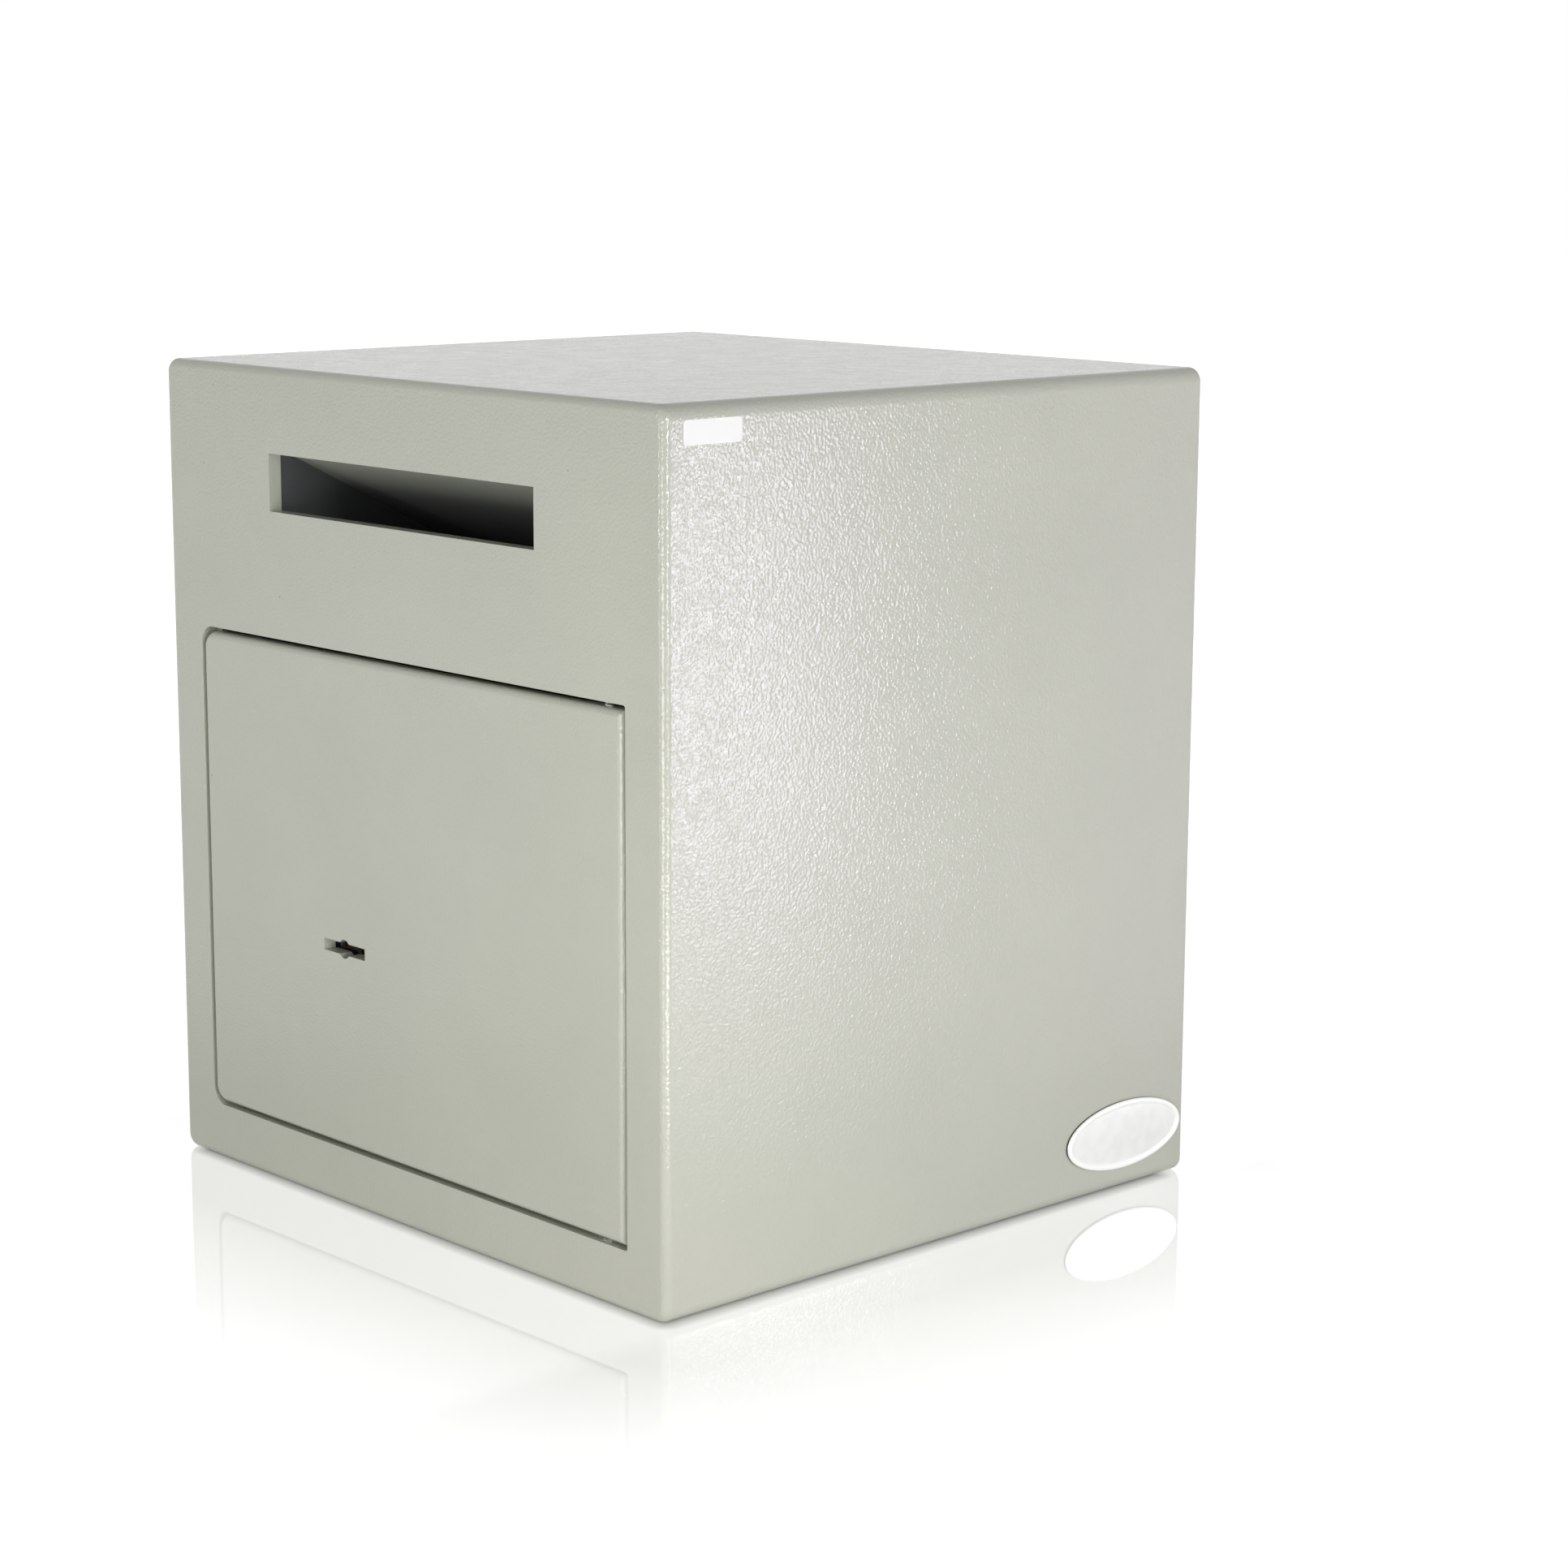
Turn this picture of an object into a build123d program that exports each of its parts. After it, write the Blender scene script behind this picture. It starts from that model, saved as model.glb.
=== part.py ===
from build123d import *
import math
import os

# Deposit safe with a flush key-locked door. The origin is the centre of the underside,
# +Z is up and the front faces -Y. All sizes are millimetres.

os.makedirs("parts", exist_ok=True)

# Body
body_width = 325.0
body_depth = 300.0
body_height = 350.0
bend_radius = 6.0
edge_round = 3.5
front_thickness = 6.0
wall = 3.0
back_thickness = 3.0
anchor_hole = 12.0
anchor_spacing = 200.0
back_anchor_height = 175.0

# Deposit slot in the front
slot_width = 174.0
slot_height = 24.0
slot_below_top = 35.7

# Door opening in the front
opening_from_side = 22.5
opening_height = 212.3
opening_bottom = 24.6
opening_lock_round = 8.0
opening_hinge_round = 1.0

# Door and the gaps round it
door_thickness = 6.0
gap_top = 2.2
gap_bottom = 1.3
gap_lock = 0.7
gap_hinge = 1.6
door_hinge_edge_round = 3.0

# Keyhole for a double-bit key
key_from_lock_edge = 98.8
key_height = 111.4
key_slot_width = 28.4
key_slot_height = 4.9
key_bulge = 8.0
key_bit_reach = 13.5
key_pin_diameter = 2.6

# Clearances
press_clearance = 0.02
running_clearance = 0.06
slide_clearance = 0.08
thrust_clearance = 0.1
stop_clearance = 0.3
window_clearance = 0.5
screw_tip_gap = 0.5
least_round = 0.5

# Chute behind the slot
chute_sheet = 1.5
chute_side_margin = 1.0
chute_head_margin = 3.4
chute_angle = 26.9
chute_run = 119.0
cheek_depth = 32.0
cheek_run = 64.0
chute_flange = 12.0
ramp_drop = 0.3
ramp_run = 62.0
tooth_count = 16
tooth_depth = 7.0

# Lock-side frame, door stop and bolt keeper in one angle
frame_sheet = 3.0
frame_leg = 32.0
stop_reach = 6.0
frame_overlap = 8.0

# Hinge
pin_diameter = 6.0
pin_inset = 18.0
pin_behind_front = 10.3
hinge_block_width = 20.0
hinge_block_depth = 13.5
hinge_block_height = 20.0
bracket_width = 26.0
bracket_height = 8.0
bracket_gap = 1.0
washer_diameter = 12.0
washer_thickness = 1.0
bracket_rise = 0.1
pin_head_diameter = 8.0
pin_head_height = 2.0
pin_seat = 16.0

# Lock
hard_plate_thickness = 3.0
lock_sheet = 2.0
lock_left = 51.5
lock_right = 56.5
lock_below = 20.2
lock_above = 40.6
lock_inside = 16.5
lock_post = 8.0
lock_post_merge = 0.8
lock_screw = 4.0
lock_screw_head = 7.0
lock_screw_head_height = 2.6
lock_screw_bite = 4.0
keyway_clearance = 0.3

# Levers
lever_cuts = (1.0, 2.5, 1.5, 3.0, 0.6, 2.0)
lever_thickness = 1.5
lever_pitch = 1.8
lever_start = 0.8
lever_ring = 17.9
lever_window = 14.2
lever_belly_width = 8.0
lever_boss = 6.0
lever_post_diameter = 6.0
lever_post_right = 46.5
lever_post_up = 20.6
lever_head_left = 46.0
lever_head_bottom = 7.4
lever_head_top = 14.6
gate_height = 5.6
pocket_top = 3.6
pocket_bottom = 11.0
pocket_side = 2.1
spring_thickness = 0.6
spring_width = 1.1
spring_root_right = 34.0
spring_bend_right = 20.0
spring_touch_left = 3.0
spring_end_left = 11.0
spring_bend_radius = 3.0

# Boltwork
bolt_throw = 18.0
bolt_diameter = 16.0
bolt_hole = 17.0
bolt_spacing = 120.0
bolt_axis_depth = 18.0
bolt_tip_inset = 7.4
bolt_tip_chamfer = 1.5
bolt_length = 31.5
bar_thickness = 5.0
bar_width = 17.0
bar_end = 10.0
guide_thickness = 4.0
guide_width = 28.0
guide_foot = 3.0
guide_foot_length = 14.0
guide_height = 22.0
guide_from_edge = 12.9
bolt_plate_thickness = 4.0
bolt_plate_gap = 0.7
bolt_plate_bottom = 2.6
bolt_plate_top = 28.6
bolt_plate_right = 28.5
bolt_head_depth = 10.0
bolt_head_bottom = 6.6
bolt_head_top = 24.6
bolt_head_inside = 0.5
talon_left = 4.5
talon_width = 9.0
talon_top = 14.6
guide_slot_up = 22.6
guide_stud = 5.0
guide_stud_left = 4.5
stump_size = 5.0
stump_left = 20.5
stump_up = 6.6
stump_tip_gap = 0.4
bar_screw = 6.0
bar_screw_head = 10.0
bar_screw_head_height = 6.0
bar_screw_bite = 12.0
link_screw_diameter = 5.0
link_screw_head = 8.5
link_screw_head_height = 5.0

# Cover inside the door
cover_sheet = 1.5
cover_depth = 30.5
cover_lock_margin = 9.9
cover_hinge_margin = 46.4
cover_top_margin = 7.0
cover_bottom_margin = 6.8
cover_corner_round = 4.0
cover_bolt_hole = 18.0
post_diameter = 9.0
post_inset = 14.0
cover_screw = 4.0
cover_screw_head = 8.0
cover_screw_head_height = 2.8
cover_screw_bite = 9.0

# Mat, badge and label
mat_thickness = 2.5
mat_margin = 3.2
mat_hole = 16.0
badge_length = 71.6
badge_height = 29.6
badge_thickness = 1.2
badge_rim = 2.8
badge_rim_height = 0.6
badge_from_back = 39.8
badge_up = 24.6
label_length = 29.0
label_height = 9.4
label_thickness = 0.2
label_round = 1.5
label_from_front = 9.3
label_below_top = 6.0

# Places worked out from the sizes above
front_y = -body_depth / 2
plate_back_y = front_y + front_thickness
door_back_y = front_y + door_thickness
inner_x = body_width / 2 - wall
slot_top = body_height - slot_below_top
slot_centre = slot_top - slot_height / 2
opening_width = body_width - 2 * opening_from_side
opening_top = opening_bottom + opening_height
opening_centre = opening_bottom + opening_height / 2
door_left = -opening_width / 2 + gap_lock
door_right = opening_width / 2 - gap_hinge
door_bottom = opening_bottom + gap_bottom
door_top = opening_top - gap_top
door_width = door_right - door_left
door_height = door_top - door_bottom
door_centre = ((door_left + door_right) / 2, (door_bottom + door_top) / 2)
key_x = door_left + key_from_lock_edge
inner_bend = max(bend_radius - wall, least_round)
door_lock_round = max(opening_lock_round - gap_lock, least_round)


def front_at(depth):
    """Plane facing the front, set back by depth from the front face."""
    return Plane.XZ.offset(body_depth / 2 - depth)


def outline(width, height, lock_round, hinge_round):
    """Upright rectangle with round corners on the lock side and tighter ones on the hinge side."""
    with BuildSketch() as shape:
        Rectangle(width, height)
        fillet(shape.vertices().group_by(Axis.X)[0], lock_round)
        fillet(shape.vertices().group_by(Axis.X)[-1], hinge_round)
    return shape.sketch


def keyhole(clearance):
    """Slot for the two bits with a round bulge for the stem."""
    with BuildSketch() as shape:
        Rectangle(key_slot_width + 2 * clearance, key_slot_height + 2 * clearance)
        Circle(key_bulge / 2 + clearance)
    return shape.sketch


def write_piece(piece, name):
    """Label one finished piece and write it to its own file."""
    piece.part.label = name
    export_step(piece.part, f"parts/{name}.step")


opening_shape = outline(opening_width, opening_height, opening_lock_round, opening_hinge_round)
door_shape = outline(door_width, door_height, door_lock_round, opening_hinge_round)
keyhole_shape = keyhole(0)
keyway_shape = keyhole(keyway_clearance)

# Front plate
with BuildPart() as front_plate:
    with BuildSketch(front_at(0)):
        with Locations((0, body_height / 2)):
            RectangleRounded(body_width, body_height, bend_radius)
    extrude(amount=-front_thickness)
    fillet(front_plate.faces().sort_by(Axis.Y)[0].outer_wire().edges(), edge_round)
    with BuildSketch(front_at(0)):
        with Locations((0, slot_centre)):
            Rectangle(slot_width, slot_height)
        with Locations((0, opening_centre)):
            add(opening_shape)
    extrude(amount=-front_thickness, mode=Mode.SUBTRACT)
write_piece(front_plate, "front_plate")

# Folded wrap that makes the top, sides and floor
wrap_length = body_depth - front_thickness - back_thickness
with BuildPart() as body_wrap:
    with BuildSketch(front_at(front_thickness)):
        with Locations((0, body_height / 2)):
            RectangleRounded(body_width, body_height, bend_radius)
            RectangleRounded(
                body_width - 2 * wall, body_height - 2 * wall, inner_bend, mode=Mode.SUBTRACT
            )
    extrude(amount=-wrap_length)
    with BuildSketch(Plane.XY):
        with GridLocations(anchor_spacing, 0, 2, 1):
            Circle(anchor_hole / 2)
    extrude(amount=wall, mode=Mode.SUBTRACT)
write_piece(body_wrap, "body_wrap")

# Back panel
with BuildPart() as back_panel:
    with BuildSketch(front_at(body_depth - back_thickness)):
        with Locations((0, body_height / 2)):
            RectangleRounded(body_width, body_height, bend_radius)
        with Locations((0, back_anchor_height)):
            with GridLocations(anchor_spacing, 0, 2, 1):
                Circle(anchor_hole / 2, mode=Mode.SUBTRACT)
    extrude(amount=-back_thickness)
    back_edges = back_panel.faces().sort_by(Axis.Y)[-1].outer_wire().edges()
    fillet(back_edges, min(edge_round, 0.85 * back_thickness))
write_piece(back_panel, "back_panel")

# Chute hood: sloping deflector, two cheeks and the flanges that weld it to the front plate
slope = math.tan(math.radians(chute_angle))
sheet_drop = chute_sheet / math.cos(math.radians(chute_angle))
chute_half = slot_width / 2 + chute_side_margin
hood_top = slot_top + chute_head_margin
hood_end_y = plate_back_y + chute_run
hood_end_z = hood_top - chute_run * slope
cheek_end_y = plate_back_y + cheek_run
cheek_end_z = hood_top - cheek_depth - cheek_run * slope
with BuildPart() as chute_hood:
    with BuildSketch(Plane.YZ):
        Polygon(
            (plate_back_y, hood_top),
            (hood_end_y, hood_end_z),
            (hood_end_y, cheek_end_z),
            (cheek_end_y, cheek_end_z),
            (plate_back_y, hood_top - cheek_depth),
            align=None,
        )
    extrude(amount=chute_half + chute_sheet, both=True)
    with BuildSketch(Plane.YZ):
        Polygon(
            (plate_back_y, hood_top - sheet_drop),
            (hood_end_y, hood_end_z - sheet_drop),
            (hood_end_y, cheek_end_z - cheek_depth),
            (plate_back_y, cheek_end_z - cheek_depth),
            align=None,
        )
    extrude(amount=chute_half, both=True, mode=Mode.SUBTRACT)
    with BuildSketch(front_at(front_thickness)):
        with Locations((0, hood_top - chute_sheet)):
            Rectangle(
                2 * (chute_half + chute_sheet),
                chute_flange + chute_sheet,
                align=(Align.CENTER, Align.MIN),
            )
        for side in (-1, 1):
            with Locations((side * (chute_half + chute_flange / 2), hood_top - cheek_depth / 2)):
                Rectangle(chute_flange, cheek_depth)
    extrude(amount=-chute_sheet)
write_piece(chute_hood, "chute_hood")

# Chute ramp: folded plate under the slot whose far edge is cut into saw teeth
ramp_top = slot_top - slot_height - ramp_drop
ramp_end_y = plate_back_y + ramp_run
ramp_end_z = ramp_top - ramp_run * slope
ramp_edge = Plane(
    origin=(0, ramp_end_y, ramp_end_z),
    x_dir=(1, 0, 0),
    z_dir=(0, math.sin(math.radians(chute_angle)), math.cos(math.radians(chute_angle))),
)
tooth_pitch = 2 * chute_half / tooth_count
with BuildPart() as chute_ramp:
    with BuildSketch(Plane.YZ):
        Polygon(
            (plate_back_y, ramp_top),
            (ramp_end_y, ramp_end_z),
            (ramp_end_y, ramp_end_z - sheet_drop),
            (plate_back_y + chute_sheet, ramp_top - sheet_drop - chute_sheet * slope),
            (plate_back_y + chute_sheet, ramp_top - chute_flange),
            (plate_back_y, ramp_top - chute_flange),
            align=None,
        )
    extrude(amount=chute_half, both=True)
    with BuildSketch(ramp_edge):
        with GridLocations(tooth_pitch, 0, tooth_count - 1, 1):
            Polygon(
                (-tooth_pitch / 2, chute_sheet),
                (0, -tooth_depth),
                (tooth_pitch / 2, chute_sheet),
                align=None,
            )
    extrude(amount=2 * chute_sheet, both=True, mode=Mode.SUBTRACT)
write_piece(chute_ramp, "chute_ramp")

# Lock-side frame: its short leg stops the door and its long leg takes the bolts
edge_x = -opening_width / 2
stop_y = door_back_y + stop_clearance
bolt_y = front_y + bolt_axis_depth
bolt_heights = (door_centre[1] - bolt_spacing / 2, door_centre[1] + bolt_spacing / 2)
with BuildPart() as lock_side_frame:
    with BuildSketch(Plane.XY.offset(opening_bottom - frame_overlap)):
        Polygon(
            (edge_x - frame_sheet, plate_back_y),
            (edge_x, plate_back_y),
            (edge_x, stop_y),
            (edge_x + stop_reach, stop_y),
            (edge_x + stop_reach, stop_y + frame_sheet),
            (edge_x, stop_y + frame_sheet),
            (edge_x, plate_back_y + frame_leg),
            (edge_x - frame_sheet, plate_back_y + frame_leg),
            align=None,
        )
    extrude(amount=opening_height + 2 * frame_overlap)
    with BuildSketch(Plane.YZ.offset(edge_x)):
        with Locations(*[(bolt_y, height) for height in bolt_heights]):
            Circle(bolt_hole / 2)
    extrude(amount=-frame_sheet, mode=Mode.SUBTRACT)
write_piece(lock_side_frame, "lock_side_frame")

# Hinge: pins in blocks on the door turn in brackets behind the front plate
pin_x = door_right - pin_inset
pin_y = front_y + pin_behind_front
pin_radius = pin_diameter / 2
upper_bracket_bottom = opening_top + bracket_gap
lower_bracket_top = opening_bottom + bracket_rise
lower_block_bottom = lower_bracket_top + washer_thickness + thrust_clearance
upper_block_top = door_top - bracket_gap


def hinge_bracket(bottom):
    """Welded block with a running hole for the hinge pin."""
    with BuildPart() as bracket:
        with BuildSketch(Plane.XY.offset(bottom)):
            with Locations((pin_x, plate_back_y)):
                Rectangle(bracket_width, hinge_block_depth, align=(Align.CENTER, Align.MIN))
            with Locations((pin_x, pin_y)):
                Circle(pin_radius + running_clearance, mode=Mode.SUBTRACT)
        extrude(amount=bracket_height)
        far_edges = bracket.edges().filter_by(Axis.Z).group_by(Axis.Y)[-1]
        chamfer(far_edges, bracket_height / 4)
    return bracket


def hinge_block(bottom):
    """Block welded behind the door that grips a hinge pin."""
    with BuildPart() as block:
        with BuildSketch(Plane.XY.offset(bottom)):
            with Locations((pin_x, door_back_y)):
                Rectangle(hinge_block_width, hinge_block_depth, align=(Align.CENTER, Align.MIN))
            with Locations((pin_x, pin_y)):
                Circle(pin_radius + press_clearance, mode=Mode.SUBTRACT)
        extrude(amount=hinge_block_height)
        far_edges = block.edges().filter_by(Axis.Z).group_by(Axis.Y)[-1]
        fillet(far_edges, hinge_block_width / 5)
    return block


upper_hinge_bracket = hinge_bracket(upper_bracket_bottom)
write_piece(upper_hinge_bracket, "upper_hinge_bracket")
lower_hinge_bracket = hinge_bracket(lower_bracket_top - bracket_height)
write_piece(lower_hinge_bracket, "lower_hinge_bracket")
upper_hinge_block = hinge_block(upper_block_top - hinge_block_height)
write_piece(upper_hinge_block, "upper_hinge_block")
lower_hinge_block = hinge_block(lower_block_bottom)
write_piece(lower_hinge_block, "lower_hinge_block")

upper_pin_head = upper_bracket_bottom + bracket_height + thrust_clearance
with BuildPart() as upper_hinge_pin:
    with BuildSketch(Plane.XY.offset(upper_block_top - pin_seat)):
        with Locations((pin_x, pin_y)):
            Circle(pin_radius)
    extrude(amount=upper_pin_head - upper_block_top + pin_seat)
    with BuildSketch(Plane.XY.offset(upper_pin_head)):
        with Locations((pin_x, pin_y)):
            Circle(pin_head_diameter / 2)
    extrude(amount=pin_head_height)
    chamfer(upper_hinge_pin.faces().sort_by(Axis.Z)[-1].edges(), pin_head_height / 3)
write_piece(upper_hinge_pin, "upper_hinge_pin")

with BuildPart() as lower_hinge_pin:
    with BuildSketch(Plane.XY.offset(lower_bracket_top - bracket_height)):
        with Locations((pin_x, pin_y)):
            Circle(pin_radius)
    extrude(amount=bracket_height + washer_thickness + thrust_clearance + pin_seat)
    chamfer(lower_hinge_pin.edges().filter_by(GeomType.CIRCLE), pin_diameter / 10)
write_piece(lower_hinge_pin, "lower_hinge_pin")

with BuildPart() as hinge_washer:
    with BuildSketch(Plane.XY.offset(lower_bracket_top)):
        with Locations((pin_x, pin_y)):
            Circle(washer_diameter / 2)
            Circle(pin_radius + slide_clearance, mode=Mode.SUBTRACT)
    extrude(amount=washer_thickness)
write_piece(hinge_washer, "hinge_washer")

# Door panel
lock_depth = door_thickness + hard_plate_thickness
lock_west = key_x - lock_left
lock_east = key_x + lock_right
lock_south = key_height - lock_below
lock_north = key_height + lock_above
lock_centre = ((lock_west + lock_east) / 2, (lock_south + lock_north) / 2)
lock_size = (lock_east - lock_west, lock_north - lock_south)
post_offset = lock_sheet + lock_post / 2 - lock_post_merge
lock_screw_pitch = (lock_size[0] - 2 * post_offset, lock_size[1] - 2 * post_offset)
with BuildPart() as door_panel:
    with BuildSketch(front_at(0)):
        with Locations(door_centre):
            add(door_shape)
    extrude(amount=-door_thickness)
    with BuildSketch(front_at(0)):
        with Locations((key_x, key_height)):
            add(keyhole_shape)
    extrude(amount=-door_thickness, mode=Mode.SUBTRACT)
    with BuildSketch(front_at(door_thickness - lock_screw_bite)):
        with Locations(lock_centre):
            with GridLocations(lock_screw_pitch[0], lock_screw_pitch[1], 2, 2):
                Circle(lock_screw / 2 + press_clearance)
    extrude(amount=-lock_screw_bite, mode=Mode.SUBTRACT)
    door_front = door_panel.faces().sort_by(Axis.Y)[0].outer_wire().edges()
    hinge_edge = door_front.filter_by(Axis.Z).sort_by(Axis.X)[-1]
    fillet(hinge_edge, door_hinge_edge_round)
write_piece(door_panel, "door_panel")

# Hard plate with the keyhole and the lock screw holes
with BuildPart() as hard_plate:
    with BuildSketch(front_at(door_thickness)):
        with Locations(lock_centre):
            Rectangle(*lock_size)
            with GridLocations(lock_screw_pitch[0], lock_screw_pitch[1], 2, 2):
                Circle(lock_screw / 2 + slide_clearance, mode=Mode.SUBTRACT)
        with Locations((key_x, key_height)):
            add(keyway_shape, mode=Mode.SUBTRACT)
    extrude(amount=-hard_plate_thickness)
write_piece(hard_plate, "hard_plate")

# Lock case: a tray open towards the cover, with four corner posts
cavity_depth = lock_depth + lock_sheet
cover_plate_depth = cavity_depth + lock_inside
plate_front_y = front_y + cover_plate_depth - bolt_plate_gap - bolt_plate_thickness
plate_rear_y = plate_front_y + bolt_plate_thickness
head_front_y = plate_rear_y - bolt_head_depth
head_window_bottom = key_height + bolt_head_bottom - window_clearance
plate_window_bottom = key_height + bolt_plate_bottom - window_clearance
with BuildPart() as lock_case:
    with BuildSketch(front_at(lock_depth)):
        with Locations(lock_centre):
            Rectangle(*lock_size)
    extrude(amount=-(lock_sheet + lock_inside))
    with BuildSketch(front_at(cavity_depth)):
        with Locations(lock_centre):
            Rectangle(lock_size[0] - 2 * lock_sheet, lock_size[1] - 2 * lock_sheet)
            with GridLocations(lock_screw_pitch[0], lock_screw_pitch[1], 2, 2):
                Circle(lock_post / 2, mode=Mode.SUBTRACT)
    extrude(amount=-lock_inside, mode=Mode.SUBTRACT)
    with BuildSketch(front_at(lock_depth)):
        with Locations((key_x, key_height)):
            add(keyway_shape)
        with Locations(lock_centre):
            with GridLocations(lock_screw_pitch[0], lock_screw_pitch[1], 2, 2):
                Circle(lock_screw / 2 + slide_clearance)
    extrude(amount=-(lock_sheet + lock_inside), mode=Mode.SUBTRACT)
    with BuildSketch(Plane.YZ.offset(lock_west)):
        with Locations((head_front_y - window_clearance, head_window_bottom)):
            Rectangle(
                bolt_head_depth + 2 * window_clearance,
                bolt_head_top - bolt_head_bottom + 2 * window_clearance,
                align=(Align.MIN, Align.MIN),
            )
        with Locations((plate_front_y - window_clearance, plate_window_bottom)):
            Rectangle(
                bolt_plate_thickness + 2 * window_clearance,
                bolt_plate_top - bolt_plate_bottom + 2 * window_clearance,
                align=(Align.MIN, Align.MIN),
            )
    extrude(amount=lock_sheet, mode=Mode.SUBTRACT)
write_piece(lock_case, "lock_case")

# Lock cover
with BuildPart() as lock_cover:
    with BuildSketch(front_at(cover_plate_depth)):
        with Locations(lock_centre):
            Rectangle(*lock_size)
            with GridLocations(lock_screw_pitch[0], lock_screw_pitch[1], 2, 2):
                Circle(lock_screw / 2 + slide_clearance, mode=Mode.SUBTRACT)
    extrude(amount=-lock_sheet)
write_piece(lock_cover, "lock_cover")

# Lock screws: through the cover, the case posts and the hard plate into the door
lock_stack = door_thickness - lock_screw_bite
with BuildPart() as lock_screws:
    with BuildSketch(front_at(lock_stack)):
        with Locations(lock_centre):
            with GridLocations(lock_screw_pitch[0], lock_screw_pitch[1], 2, 2):
                Circle(lock_screw / 2)
    extrude(amount=-(cover_plate_depth + lock_sheet - lock_stack))
    with BuildSketch(front_at(cover_plate_depth + lock_sheet)):
        with Locations(lock_centre):
            with GridLocations(lock_screw_pitch[0], lock_screw_pitch[1], 2, 2):
                Circle(lock_screw_head / 2)
    extrude(amount=-lock_screw_head_height)
write_piece(lock_screws, "lock_screws")

# Lever post, key pin and the stud that guides the lock bolt
post_place = (key_x + lever_post_right, key_height + lever_post_up)
with BuildPart() as lever_post:
    with BuildSketch(front_at(cavity_depth)):
        with Locations(post_place):
            Circle(lever_post_diameter / 2)
    extrude(amount=-lock_inside)
write_piece(lever_post, "lever_post")

key_pin_length = lock_inside - lever_start
with BuildPart() as key_pin:
    with BuildSketch(front_at(cover_plate_depth)):
        with Locations((key_x, key_height)):
            Circle(key_pin_diameter / 2)
    extrude(amount=key_pin_length)
    chamfer(key_pin.faces().sort_by(Axis.Y)[0].edges(), key_pin_diameter / 4)
write_piece(key_pin, "key_pin")

stud_place = (key_x + guide_stud_left, key_height + guide_slot_up)
with BuildPart() as bolt_guide_stud:
    with BuildSketch(front_at(cover_plate_depth)):
        with Locations(stud_place):
            Circle(guide_stud / 2)
    extrude(amount=front_y + cover_plate_depth - plate_front_y)
write_piece(bolt_guide_stud, "bolt_guide_stud")

# Levers: alike but for the belly that the key lifts
retracted = -stump_left
thrown = retracted - bolt_throw
pocket_width = stump_size + 2 * pocket_side
lever_head_width = lever_head_left - lever_window
lever_head_height = lever_head_top + lever_head_bottom
pocket_height = pocket_top + pocket_bottom
for index, cut in enumerate(lever_cuts):
    belly = key_bit_reach - cut
    with BuildPart() as lever:
        with BuildSketch(front_at(cavity_depth + lever_start + index * lever_pitch)):
            with Locations((key_x, key_height)):
                Circle(lever_ring)
            with Locations(post_place):
                Circle(lever_boss)
            make_hull()
            with Locations((key_x - lever_head_left, key_height - lever_head_bottom)):
                Rectangle(lever_head_width, lever_head_height, align=(Align.MIN, Align.MIN))
            with Locations((key_x, key_height)):
                Circle(lever_window, mode=Mode.SUBTRACT)
            with Locations(post_place):
                Circle(lever_post_diameter / 2 + running_clearance, mode=Mode.SUBTRACT)
            for pocket in (retracted, thrown):
                with Locations((key_x + pocket, key_height + stump_up + pocket_top)):
                    Rectangle(
                        pocket_width,
                        pocket_height,
                        align=(Align.CENTER, Align.MAX),
                        mode=Mode.SUBTRACT,
                    )
            with Locations((key_x + (retracted + thrown) / 2, key_height + stump_up)):
                Rectangle(bolt_throw, gate_height, mode=Mode.SUBTRACT)
            with Locations((key_x, key_height + belly)):
                Rectangle(
                    lever_belly_width, lever_window - belly, align=(Align.CENTER, Align.MIN)
                )
        extrude(amount=-lever_thickness)
    write_piece(lever, f"lever_{index + 1}")

# Lever springs: one leaf above each lever, from the roof of the case to the lever's ring
roof = lock_north - lock_sheet
spring_inset = (lever_thickness - spring_width) / 2
spring_tip = key_height + lever_ring + spring_thickness / 2 + thrust_clearance
spring_root = roof - spring_thickness / 2
with BuildPart() as lever_springs:
    for index in range(len(lever_cuts)):
        lever_depth = cavity_depth + lever_start + index * lever_pitch
        with BuildSketch(front_at(lever_depth + spring_inset)):
            with BuildLine():
                FilletPolyline(
                    (key_x + spring_root_right, spring_root),
                    (key_x + spring_bend_right, spring_root),
                    (key_x - spring_touch_left, spring_tip),
                    (key_x - spring_end_left, spring_tip),
                    radius=spring_bend_radius,
                )
            trace(line_width=spring_thickness)
        extrude(amount=-spring_width)
write_piece(lever_springs, "lever_springs")

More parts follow.
